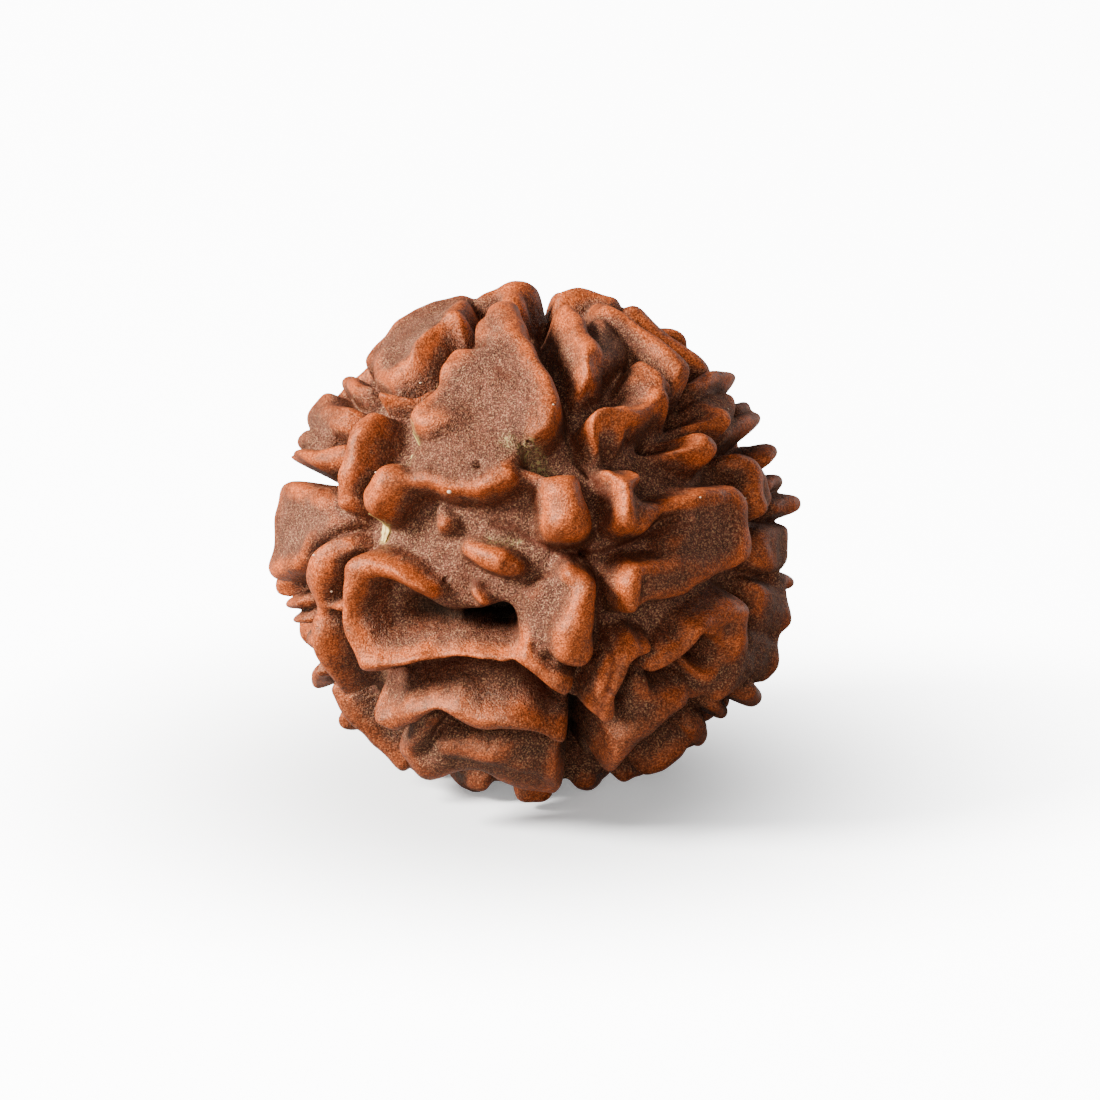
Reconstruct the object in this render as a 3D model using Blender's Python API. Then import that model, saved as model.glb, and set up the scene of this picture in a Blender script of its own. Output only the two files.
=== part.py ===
"""Rudraksha bead: one dried fruit stone with four faces and high winding ridges.

The bead is one closed solid. Its surface is a sphere whose radius is worked out for every direction
from named ridges, plates, cuts and seams. The front ones are placed where the photo shows them, and
the rear is covered by a winding net of the same height and spacing.

Sizes are in millimetres until the finished mesh is scaled to metres.
"""

import math
from dataclasses import dataclass

import bpy
import numpy as np
from mathutils import Matrix

METRES_PER_MM = 0.001

# Driving sizes, in millimetres
FLOOR_RADIUS = 8.75
NET_TOP = 10.75
WIDTH_RADIUS = 10.3
REST_HEIGHT = 10.4

# Shape of every raised form
PLATE_ROUND = 0.6
DISH_START = 0.5
DISH_WIDTH = 1.0
CREST_ROUND = 0.38
DOME_START = 0.6
DOME_DROP = 0.55
LINE_STEPS = 3
WALL_SLOPE = 4.6
FLOOR_FILLET = 0.9
FORM_BLEND = 0.45
CUT_BLEND = 0.35
REACH = 2.8

# Waver that keeps outlines and faces from running straight: wave lengths and reaches in millimetres
WAVER_SEED = 3
WAVER_WAVES = 16
WAVER_BANDS = ((3.4, 0.07), (1.5, 0.04))
SWELL_BANDS = ((3.0, 0.05), (1.6, 0.05), (0.9, 0.022))

# The front of the bead leans back by this many degrees, towards a camera that looks down on it
LOOK_DOWN = 18.0

# Winding net on the rear: ridges along the still lines of one wave field, broken by those of another
NET_SEED = 7
NET_WAVES = 26
NET_LENGTH = 5.0
NET_HALF = 0.55
NET_LEAST_SLOPE = 0.55
NET_SWELL_BANDS = ((4.5, 0.16),)
NET_START = 88.0
NET_FULL = 97.0
NET_SUNK = 0.9
NET_CLEARANCE = 0.45
NET_OFF_GROUND = 0.12
BREAK_SEED = 19
BREAK_LENGTH = 8.5
BREAK_HALF = 0.34

# Points this close to the ground are pressed down to it, in millimetres
FLAT_PRESS = 0.05

# Mesh: steps of the first sphere, passes that soften it, and triangles that are left at the end
SPHERE_STEPS = 8
SOFTEN_STEPS = 8
SOFTEN_FACTOR = 0.5
TRIANGLE_LIMIT = 11600

# Limits that keep a division away from zero
LEAST_FACING = 0.1
LEAST_DOWN = 0.5
LEAST_SPAN = 0.001
STEEP = 0.9

# Surface, from the photo
SHELL_COLOUR = (0.36, 0.13, 0.06, 1.0)
SHELL_ROUGHNESS = 0.5


@dataclass(frozen=True)
class Point:
    """A place on the bead's surface.

    Args:
        direction: unit vector in the view frame: x to the right, y up, z to the viewer.
        top: radius of the surface there, in millimetres.
        half: half width of the form there, in millimetres.
    """

    direction: tuple[float, float, float]
    top: float
    half: float


def seen(u: float, v: float, top: float, half: float = 0.0) -> Point:
    """Return the point that the viewer sees u millimetres right of and v above the bead's middle."""
    reach = math.hypot(u, v)
    side = min(reach / top, 1.0)
    depth = math.sqrt(1.0 - side * side)
    return Point((u / reach * side, v / reach * side, depth), top, half)


def around(clock: float, tilt: float, top: float, half: float = 0.0) -> Point:
    """Return the point at a clock angle from the right, tilted away from the viewer, in degrees."""
    turn = math.radians(clock)
    lean = math.radians(tilt)
    direction = (math.sin(lean) * math.cos(turn), math.sin(lean) * math.sin(turn), math.cos(lean))
    return Point(direction, top, half)


# Ridges: each is a path of points with the crest's radius and half width
RIDGES = {
    "crown rim": (
        seen(-1.3, 10.2, 10.9, 0.7), seen(-0.9, 9.3, 10.9, 0.55), seen(-0.3, 8.4, 10.9, 0.5),
        seen(0.3, 7.3, 10.9, 0.5), seen(0.75, 6.3, 10.9, 0.55), seen(0.7, 5.7, 10.95, 0.6),
    ),
    "crown knob": (seen(0.2, 5.6, 10.95, 0.7), seen(0.5, 5.8, 10.95, 0.7)),
    "crown left lobe": (
        seen(-4.75, 5.75, 10.85, 0.6), seen(-4.35, 5.5, 10.9, 0.68), seen(-3.3, 5.9, 10.7, 0.6),
    ),
    "crown upper lobe": (seen(-3.55, 7.6, 10.75, 0.5), seen(-3.0, 7.9, 10.8, 0.55)),
    "crown back": (
        around(100.5, 90, 10.85, 0.5), around(98, 91, 11.0, 0.6), around(93.5, 91, 11.1, 0.65),
        around(91, 92, 10.9, 0.5),
    ),
    "crown back root": (around(95, 84, 10.6, 0.6), around(95, 98, 10.9, 0.6)),
    "upper left slab": (
        seen(-3.3, 9.8, 10.9, 0.5), seen(-4.3, 9.1, 10.95, 0.6), seen(-5.1, 8.2, 10.9, 0.6),
        seen(-5.8, 7.3, 10.85, 0.5), seen(-6.15, 6.6, 10.5, 0.4),
    ),
    "upper left slab back": (
        around(106, 91, 11.0, 0.7), around(112, 91, 11.1, 0.8), around(118, 91, 11.05, 0.8),
        around(125, 90, 10.65, 0.7), around(130, 88, 10.55, 0.6),
    ),
    "tooth above block": (
        seen(-6.9, 6.75, 9.9, 0.4), seen(-7.5, 6.85, 10.3, 0.42), around(139, 95, 10.5, 0.4),
    ),
    "knob under block": (
        seen(-8.7, 4.5, 10.1, 0.35), around(153.5, 87, 10.75, 0.38), around(153.5, 99, 10.8, 0.4),
    ),
    "left horn": (
        seen(-8.2, 3.95, 10.0, 0.5), seen(-9.2, 3.85, 10.5, 0.42), around(159.2, 90, 10.9, 0.36),
        around(159.2, 103, 10.6, 0.35),
    ),
    "upper left ridge": (
        seen(-6.7, 5.45, 10.5, 0.42), seen(-7.1, 5.0, 10.75, 0.5), seen(-7.5, 4.3, 10.85, 0.5),
        seen(-7.8, 3.4, 10.8, 0.48), seen(-8.05, 2.6, 10.7, 0.5), seen(-7.95, 2.15, 10.5, 0.5),
    ),
    "bone head": (seen(-6.75, 2.2, 11.0, 0.85), seen(-6.15, 2.95, 11.1, 0.95)),
    "bone": (
        seen(-6.0, 2.9, 10.85, 0.5), seen(-5.0, 2.85, 10.5, 0.42), seen(-4.2, 2.8, 10.4, 0.38),
        seen(-3.2, 2.7, 10.4, 0.38), seen(-2.4, 2.6, 10.45, 0.4), seen(-1.6, 2.8, 10.5, 0.45),
        seen(-1.0, 3.1, 10.45, 0.5),
    ),
    "small bump": (seen(-3.75, 1.5, 9.2, 0.3), seen(-3.5, 1.0, 9.5, 0.36)),
    "middle bump": (
        seen(-2.6, 0.0, 9.5, 0.4), seen(-1.9, -0.4, 10.0, 0.55), seen(-1.2, -0.65, 10.15, 0.6),
        seen(-0.7, -0.8, 9.8, 0.5),
    ),
    "nub over hole": (seen(-2.3, -1.8, 9.4, 0.3), seen(-2.0, -2.4, 9.7, 0.16)),
    "left winding ridge": (
        seen(-7.9, 0.15, 10.1, 0.45), seen(-8.6, -0.15, 10.5, 0.58), seen(-9.1, -0.8, 10.75, 0.66),
        seen(-9.2, -1.5, 10.75, 0.62), seen(-8.95, -2.2, 10.5, 0.42), seen(-8.9, -2.7, 10.4, 0.36),
        seen(-9.05, -3.2, 10.6, 0.48), seen(-9.0, -3.8, 10.7, 0.55), seen(-8.75, -4.6, 10.65, 0.5),
        seen(-8.4, -5.3, 10.5, 0.48), seen(-7.95, -6.0, 10.3, 0.42),
    ),
    "frame top": (
        seen(-7.5, -0.85, 10.85, 0.58), seen(-6.8, -0.85, 10.75, 0.52), seen(-6.0, -1.15, 10.55, 0.48),
        seen(-5.4, -1.55, 10.5, 0.48), seen(-4.85, -1.85, 10.4, 0.42),
    ),
    "frame left": (
        seen(-7.6, -1.0, 10.9, 0.62), seen(-7.7, -2.2, 10.75, 0.55), seen(-7.55, -3.4, 10.75, 0.55),
        seen(-7.3, -4.35, 10.85, 0.62), seen(-6.8, -5.0, 10.95, 0.7),
    ),
    "frame tooth": (seen(-8.1, -2.5, 10.4, 0.3), seen(-8.7, -2.5, 10.4, 0.12)),
    "frame bottom": (
        seen(-6.8, -5.0, 10.95, 0.7), seen(-6.0, -5.15, 11.0, 0.68), seen(-5.1, -4.85, 10.95, 0.62),
        seen(-4.0, -4.6, 10.85, 0.55), seen(-3.0, -4.6, 10.85, 0.55), seen(-2.0, -4.65, 10.85, 0.55),
        seen(-1.2, -4.4, 10.7, 0.5), seen(-0.5, -4.1, 10.3, 0.5),
    ),
    "short finger": (
        seen(-0.7, -4.45, 10.4, 0.45), seen(0.2, -5.15, 10.6, 0.48), seen(0.8, -5.65, 10.8, 0.55),
        seen(1.3, -5.95, 10.85, 0.52),
    ),
    "second tier left": (
        seen(-6.3, -6.4, 10.7, 0.6), seen(-6.45, -7.0, 10.85, 0.72), seen(-5.9, -7.4, 10.8, 0.62),
        seen(-5.3, -7.15, 10.65, 0.5),
    ),
    "second tier": (
        seen(-5.7, -7.4, 10.6, 0.42), seen(-5.0, -6.95, 10.6, 0.42), seen(-4.2, -6.55, 10.6, 0.42),
        seen(-3.2, -6.75, 10.6, 0.5), seen(-2.2, -7.2, 10.7, 0.55), seen(-1.0, -7.45, 10.75, 0.55),
        seen(0.2, -7.55, 10.8, 0.5), seen(1.25, -7.9, 11.0, 0.62),
    ),
    "second tier end": (seen(1.45, -7.6, 11.0, 0.5), seen(1.3, -8.4, 11.0, 0.5)),
    "third tier left": (
        seen(-4.35, -7.4, 10.2, 0.4), seen(-4.8, -8.1, 10.5, 0.42), seen(-5.3, -8.6, 10.75, 0.5),
    ),
    "third tier lobe": (
        seen(-5.1, -8.7, 10.75, 0.6), seen(-4.6, -9.35, 11.0, 0.65), seen(-3.9, -9.2, 10.8, 0.55),
    ),
    "right finger": (
        seen(4.2, -4.3, 10.5, 0.45), seen(3.75, -4.7, 10.75, 0.5), seen(3.4, -5.4, 10.85, 0.52),
        seen(3.2, -6.2, 10.9, 0.52), seen(3.15, -7.0, 10.95, 0.52),
    ),
    "right finger branch": (seen(4.0, -4.5, 10.5, 0.4), seen(4.8, -4.3, 10.3, 0.3)),
    "bottom slab": (
        seen(2.95, -9.4, 11.0, 0.8), seen(3.3, -9.0, 11.0, 0.78), seen(3.9, -8.4, 10.85, 0.7),
        seen(4.6, -7.8, 10.75, 0.62), seen(5.5, -7.1, 10.65, 0.6), seen(6.2, -6.6, 10.6, 0.5),
    ),
    "low right crest": (
        seen(8.6, -2.6, 10.6, 0.5), seen(7.6, -3.0, 10.5, 0.45), seen(6.9, -3.45, 10.5, 0.42),
        seen(6.5, -4.1, 10.45, 0.38), seen(5.7, -4.6, 10.35, 0.36), seen(5.1, -4.9, 10.2, 0.34),
    ),
    "low right edge": (
        seen(8.8, -2.8, 10.6, 0.5), seen(8.75, -4.0, 10.7, 0.5), seen(8.6, -5.2, 10.7, 0.52),
        seen(7.9, -6.1, 10.7, 0.5),
    ),
    "short right finger": (
        seen(4.3, -0.9, 10.5, 0.42), seen(4.2, -1.6, 10.75, 0.42), seen(4.3, -2.45, 10.65, 0.42),
    ),
    "right arm": (
        seen(4.3, -0.95, 10.45, 0.36), seen(5.4, -0.75, 10.3, 0.36), seen(6.5, -0.6, 10.35, 0.45),
        seen(7.6, -0.7, 10.45, 0.55), seen(8.6, -0.5, 10.6, 0.5),
    ),
    "right plate crest": (
        seen(5.7, 1.8, 10.1, 0.35), seen(6.5, 2.0, 10.4, 0.38), seen(7.4, 2.25, 10.6, 0.42),
        seen(8.4, 2.3, 10.7, 0.45),
    ),
    "right plate edge": (
        seen(8.6, 2.1, 10.7, 0.45), seen(8.75, 1.2, 10.7, 0.5), seen(8.8, 0.2, 10.6, 0.5),
        seen(8.6, -0.5, 10.6, 0.5),
    ),
    "crescent": (
        seen(4.5, 3.1, 10.5, 0.3), seen(4.1, 2.6, 10.75, 0.34), seen(3.95, 1.9, 10.8, 0.36),
        seen(4.0, 1.2, 10.7, 0.4),
    ),
    "upper right finger": (
        seen(5.5, 4.5, 10.0, 0.42), seen(6.5, 4.6, 10.6, 0.58), seen(7.5, 4.35, 10.85, 0.64),
    ),
    "stepped block low": (seen(6.9, 5.5, 10.1, 0.4), seen(8.1, 5.55, 10.6, 0.48)),
    "back strut": (
        seen(6.9, 6.85, 10.2, 0.32), seen(7.7, 7.15, 10.7, 0.34), around(41.5, 93, 11.2, 0.32),
    ),
    "upper right rim": (
        seen(1.5, 10.1, 10.7, 0.45), seen(1.95, 9.3, 10.65, 0.45), seen(2.35, 8.5, 10.65, 0.45),
        seen(2.55, 7.7, 10.6, 0.45),
    ),
    "far right ridge": (
        seen(3.1, 10.1, 10.8, 0.4), seen(3.9, 9.7, 10.8, 0.42), seen(4.8, 9.1, 10.8, 0.44),
        seen(5.7, 8.3, 10.8, 0.46), seen(6.5, 7.5, 10.8, 0.48),
    ),
    "hooked ridge upper": (
        seen(4.6, 7.75, 10.4, 0.3), seen(5.4, 7.2, 10.6, 0.38), seen(6.05, 6.65, 10.7, 0.45),
    ),
    "hooked ridge lower": (
        seen(6.0, 6.6, 10.7, 0.45), seen(5.3, 6.4, 10.6, 0.42), seen(4.5, 5.9, 10.55, 0.42),
        seen(3.7, 5.6, 10.6, 0.45),
    ),
    "hooked ridge knob": (
        seen(3.5, 5.45, 11.15, 0.68), seen(3.35, 5.0, 10.95, 0.55), seen(3.1, 4.5, 10.3, 0.4),
    ),
    "egg knob": (seen(1.3, 2.35, 11.0, 1.1), seen(1.6, 1.25, 11.2, 1.2)),
    "egg knob root": (seen(-0.6, 3.2, 9.9, 0.4), seen(0.5, 2.7, 9.9, 0.5)),
    "long knob crest": (
        seen(1.6, -1.3, 10.5, 0.45), seen(2.1, -1.9, 10.85, 0.65), seen(2.05, -2.9, 11.0, 0.8),
        seen(1.8, -3.8, 11.15, 0.95), seen(1.85, -4.5, 11.1, 0.85),
    ),
    "right outer edge": (
        seen(8.8, 3.7, 10.3, 0.45), seen(9.3, 3.3, 10.5, 0.45), seen(9.5, 2.5, 10.6, 0.45),
        seen(9.7, 1.8, 10.6, 0.45),
    ),
    "right tooth upper": (around(14.6, 82, 10.5, 0.3), around(14.8, 92, 10.75, 0.32)),
    "right tooth": (around(9.7, 82, 10.6, 0.32), around(9.7, 90, 11.3, 0.36), around(9.7, 98, 11.0, 0.36)),
    "right block": (
        around(-4, 84, 10.6, 0.5), around(1, 86, 10.65, 0.55), around(4, 88, 10.65, 0.45),
    ),
    "right low tooth": (around(-8.2, 84, 10.6, 0.3), around(-7.9, 94, 11.1, 0.32)),
    "low right block": (
        around(-11, 86, 10.8, 0.5), around(-15.5, 87, 11.15, 0.55), around(-18, 88, 10.95, 0.5),
    ),
    "low right block lower": (
        around(-21, 87, 10.95, 0.5), around(-25.5, 88, 11.35, 0.55), around(-28, 89, 11.3, 0.5),
    ),
    "low right tooth": (around(-34, 84, 11.2, 0.45), around(-34, 96, 11.5, 0.45)),
    "bottom right teeth": (around(-41, 84, 10.5, 0.4), around(-41, 95, 10.65, 0.4)),
    "bottom right block": (around(-48, 84, 10.4, 0.5), around(-49, 92, 10.75, 0.55)),
    "bottom right mass": (
        around(-53, 88, 10.5, 0.5), around(-57, 90, 10.75, 0.6), around(-62, 90, 10.6, 0.55),
    ),
    "upper right tooth": (
        seen(8.1, 4.9, 10.0, 0.34), around(30.4, 90, 10.9, 0.34), around(30.4, 100, 10.8, 0.34),
    ),
    "upper right tooth behind": (around(34, 86, 10.4, 0.3), around(33.8, 95, 10.9, 0.32)),
    "right high tooth": (
        around(21, 85, 10.7, 0.38), around(22.2, 90, 11.05, 0.4), around(22.5, 99, 10.9, 0.4),
    ),
    "back right mass": (
        around(47, 90, 10.65, 0.5), around(53, 90, 10.6, 0.55), around(60, 91, 10.7, 0.55),
        around(66, 92, 10.85, 0.55),
    ),
    "back top mass": (
        around(72, 92, 11.0, 0.5), around(77, 92, 11.1, 0.55), around(80.5, 91, 11.1, 0.5),
        around(83, 90, 10.8, 0.4),
    ),
    "left tooth upper": (around(193, 84, 10.2, 0.3), around(193.1, 94, 10.6, 0.32)),
    "left tooth lower": (around(197.8, 84, 10.2, 0.25), around(197.8, 93, 10.45, 0.28)),
    "low left block": (around(203.5, 84, 10.1, 0.4), around(204, 96, 10.3, 0.5)),
    "low left tooth": (around(210.5, 86, 10.4, 0.35), around(211, 95, 10.9, 0.34)),
    "low left mass": (
        around(217, 86, 10.35, 0.5), around(222, 87, 10.5, 0.6), around(228, 88, 10.5, 0.6),
        around(233, 90, 10.6, 0.5), around(239, 91, 10.8, 0.45),
    ),
    "bottom middle": (around(269, 90, 10.6, 0.6), around(273, 91, 10.65, 0.6)),
    "left foot": (around(257, 94, 10.4, 0.5), around(256, 103, 10.75, 0.6), around(252, 111, 10.85, 0.5)),
    "right foot": (around(283, 97, 10.5, 0.5), around(284, 105, 10.7, 0.6), around(288, 112, 10.85, 0.5)),
    "rear foot": (around(263, 122, 10.85, 0.5), around(270, 124, 10.95, 0.55), around(278, 121, 10.85, 0.5)),
    "under body": (
        around(240, 95, 9.7, 0.9), around(256, 97, 9.9, 1.0), around(272, 98, 9.9, 1.0),
        around(288, 97, 9.9, 1.0), around(304, 94, 9.7, 0.9),
    ),
    "left haunch": (
        around(247, 97, 10.6, 0.5), around(240, 102, 10.7, 0.6), around(233, 98, 10.6, 0.55),
    ),
    "right haunch": (
        around(293, 95, 10.5, 0.5), around(300, 101, 10.7, 0.6), around(309, 97, 10.7, 0.55),
    ),
}

# Plates: an outline with the radius at each corner, and how far the middle is dished
PLATES = {
    "crown": (0.12, (
        seen(-2.2, 8.6, 10.6), seen(-3.4, 8.35, 10.6), seen(-4.1, 7.5, 10.6), seen(-4.25, 6.7, 10.6),
        seen(-5.1, 6.0, 10.6), seen(-5.25, 5.3, 10.6), seen(-4.5, 4.6, 10.3), seen(-3.0, 4.6, 10.0),
        seen(-1.6, 4.4, 9.8), seen(-0.2, 4.7, 10.2), seen(0.9, 5.1, 10.7), seen(1.2, 6.2, 10.8),
        seen(0.5, 7.7, 10.8), seen(-0.5, 9.3, 10.8), seen(-1.6, 10.2, 10.8), seen(-2.4, 9.4, 10.6),
    )),
    "upper left slab face": (0.1, (
        seen(-2.9, 10.1, 10.8), around(104, 92, 10.9), around(112, 93, 11.05), around(120, 93, 11.0),
        around(130, 91, 10.6), seen(-6.8, 7.5, 10.3), seen(-6.5, 7.0, 10.1), seen(-6.0, 6.9, 10.1),
        seen(-5.5, 7.3, 10.2), seen(-4.8, 8.2, 10.4), seen(-3.6, 9.5, 10.6),
    )),
    "shelf over bone": (0.0, (
        seen(-5.2, 3.4, 10.0), seen(-4.6, 4.5, 10.0), seen(-3.0, 5.2, 10.0), seen(-1.4, 5.0, 9.7),
        seen(-0.1, 4.2, 9.9), seen(-0.6, 3.1, 10.4), seen(-1.6, 2.8, 10.5), seen(-3.0, 2.7, 10.4),
        seen(-5.0, 2.8, 10.3),
    )),
    "long knob": (0.0, (
        seen(1.2, -1.0, 10.1), seen(2.0, -1.1, 10.2), seen(2.55, -1.6, 10.2), seen(2.65, -2.4, 10.2),
        seen(2.5, -4.0, 10.1), seen(2.2, -4.7, 10.0), seen(1.3, -4.6, 10.0), seen(0.85, -4.0, 10.0),
        seen(0.8, -3.0, 10.0), seen(0.9, -1.9, 10.0),
    )),
    "slope beside long knob": (0.0, (
        seen(1.4, -1.2, 9.9), seen(0.4, -1.3, 9.6), seen(-0.5, -1.9, 9.3), seen(-0.3, -2.8, 9.3),
        seen(-0.5, -3.6, 9.7), seen(-0.7, -4.3, 10.2), seen(0.2, -4.7, 10.3), seen(0.9, -4.4, 10.1),
        seen(1.4, -3.0, 10.1),
    )),
    "left lobe": (0.3, (
        seen(-8.6, 2.5, 10.1), seen(-9.6, 2.85, 10.4), around(164.5, 88, 10.7), around(167, 92, 10.95),
        around(172.5, 91, 10.85), around(179, 91, 10.95), around(183.5, 92, 11.2), around(186.3, 90, 11.1),
        seen(-9.9, -1.05, 10.5), seen(-9.3, -0.2, 10.3), seen(-8.5, 0.5, 10.1), seen(-7.5, 1.1, 9.9),
        seen(-7.9, 1.8, 9.9),
    )),
    "upper left block": (0.2, (
        seen(-7.5, 6.1, 10.2), seen(-8.3, 6.35, 10.6), around(143.5, 92, 10.85), around(148, 95, 10.95),
        around(151, 92, 10.85), seen(-8.9, 4.95, 10.4), seen(-8.1, 4.9, 10.1), seen(-7.6, 5.4, 10.0),
    )),
    "frame shelf": (0.0, (
        seen(-7.3, -4.5, 10.0), seen(-6.8, -5.0, 10.3), seen(-5.6, -5.0, 10.3), seen(-4.4, -4.7, 10.2),
        seen(-1.6, -4.7, 10.1), seen(-0.9, -4.3, 10.0), seen(-2.4, -4.3, 9.8), seen(-4.6, -4.2, 9.8),
        seen(-6.2, -4.4, 9.8),
    )),
    "second tier face": (0.0, (
        seen(-6.7, -6.8, 9.9), seen(-5.4, -6.7, 9.6), seen(-4.0, -6.5, 9.6), seen(-1.5, -7.0, 9.7),
        seen(0.6, -7.4, 10.0), seen(1.2, -7.9, 10.4), seen(0.2, -7.8, 10.4), seen(-2.0, -7.6, 10.3),
        seen(-3.4, -7.0, 10.2), seen(-4.6, -6.9, 10.2), seen(-5.9, -7.6, 10.2), seen(-6.6, -7.2, 10.2),
    )),
    "third tier": (0.3, (
        seen(-5.0, -9.0, 10.7), seen(-4.4, -9.8, 11.0), seen(-3.2, -9.5, 10.6), seen(-2.0, -9.5, 10.5),
        seen(-1.0, -9.95, 10.6), seen(0.3, -10.3, 10.7), seen(1.1, -10.4, 10.75), seen(1.6, -9.7, 10.8),
        seen(1.65, -8.9, 10.8), seen(0.9, -8.9, 10.6), seen(-0.8, -8.6, 10.5), seen(-3.0, -8.3, 10.4),
        seen(-4.3, -8.3, 10.5),
    )),
    "crescent plate": (0.0, (
        seen(3.2, 3.4, 10.4), seen(4.6, 3.5, 10.4), seen(4.4, 2.7, 10.4), seen(4.7, 2.0, 10.2),
        seen(5.6, 1.8, 10.2), seen(5.3, 1.1, 10.2), seen(4.7, 0.7, 10.3), seen(3.7, 0.9, 10.4),
        seen(3.3, 1.6, 10.3), seen(3.4, 2.6, 10.3),
    )),
    "right plate": (0.25, (
        seen(7.2, 2.2, 10.4), seen(8.8, 2.5, 10.7), seen(9.15, 1.6, 10.7), seen(9.2, 0.2, 10.65),
        seen(9.05, -0.8, 10.6), seen(8.0, -1.2, 10.4), seen(6.9, -1.6, 10.3), seen(5.6, -0.9, 10.1),
        seen(5.6, 0.2, 10.0), seen(6.2, 1.5, 10.1),
    )),
    "right shelf": (0.0, (
        seen(4.6, -0.8, 10.2), seen(6.4, -0.5, 10.2), seen(7.4, -1.0, 10.3), seen(6.7, -1.8, 10.3),
        seen(6.1, -2.1, 10.3), seen(5.0, -2.4, 10.2), seen(4.5, -2.7, 10.3),
    )),
    "low right plate": (0.2, (
        seen(8.0, -2.4, 10.5), seen(9.2, -2.3, 10.65), seen(9.25, -4.0, 10.7), seen(9.15, -5.4, 10.75),
        seen(8.3, -6.3, 10.7), seen(7.2, -6.3, 10.5), seen(6.9, -5.3, 10.2), seen(6.6, -4.6, 10.2),
        seen(7.0, -3.8, 10.2), seen(7.4, -3.2, 10.3),
    )),
    "low right slope": (0.0, (
        seen(4.4, -5.2, 9.8), seen(5.8, -5.6, 10.0), seen(7.2, -5.6, 10.1), seen(7.9, -5.8, 10.3),
        seen(7.0, -6.5, 10.4), seen(6.2, -6.9, 10.5), seen(5.0, -8.1, 10.6), seen(4.0, -8.9, 10.7),
        seen(3.3, -9.4, 10.7), seen(3.4, -8.2, 10.2), seen(3.9, -6.6, 9.9),
    )),
    "upper right slope": (0.0, (
        seen(0.9, 10.2, 10.4), seen(1.5, 10.4, 10.7), seen(2.2, 9.2, 10.7), seen(2.8, 8.0, 10.6),
        seen(2.6, 7.2, 10.3), seen(2.0, 6.4, 9.8), seen(1.6, 7.4, 9.8), seen(1.1, 8.8, 10.0),
    )),
    "far right slope": (0.2, (
        seen(2.4, 10.3, 10.6), seen(3.4, 10.1, 10.6), seen(4.2, 9.3, 10.3), seen(4.3, 8.3, 9.9),
        seen(3.6, 7.6, 9.8), seen(2.9, 7.7, 10.3), seen(2.5, 8.8, 10.4),
    )),
    "hooked plate": (0.0, (
        seen(4.3, 8.0, 10.2), seen(5.2, 7.5, 10.4), seen(6.3, 6.9, 10.5), seen(6.1, 6.2, 10.5),
        seen(4.6, 5.8, 10.3), seen(3.9, 5.9, 10.2), seen(3.8, 6.9, 10.0),
    )),
    "stepped block": (0.0, (
        seen(7.0, 6.4, 10.0), seen(8.2, 6.6, 10.6), seen(8.75, 5.95, 10.7), seen(8.6, 5.4, 10.6),
        seen(7.2, 5.1, 10.1), seen(6.7, 5.7, 9.9),
    )),
    "right outer face": (0.0, (
        seen(8.3, 3.8, 10.1), seen(9.3, 3.95, 10.5), seen(9.8, 3.0, 10.55), seen(10.2, 2.0, 10.6),
        seen(9.8, 1.35, 10.5), seen(9.2, 1.6, 10.3), seen(9.0, 2.6, 10.2),
    )),
    "right block face": (0.0, (
        around(-5.2, 70, 10.3), around(-5.4, 88, 10.7), around(5.4, 88, 10.7), around(5.8, 70, 10.3),
    )),
    "lower right block face": (0.0, (
        around(-9, 72, 10.3), around(-9.5, 88, 10.8), around(-17.5, 88, 11.1), around(-19, 74, 10.4),
    )),
    "lowest right block face": (0.0, (
        around(-20, 72, 10.3), around(-20, 88, 10.9), around(-30, 89, 11.3), around(-31, 74, 10.5),
    )),
}

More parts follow.
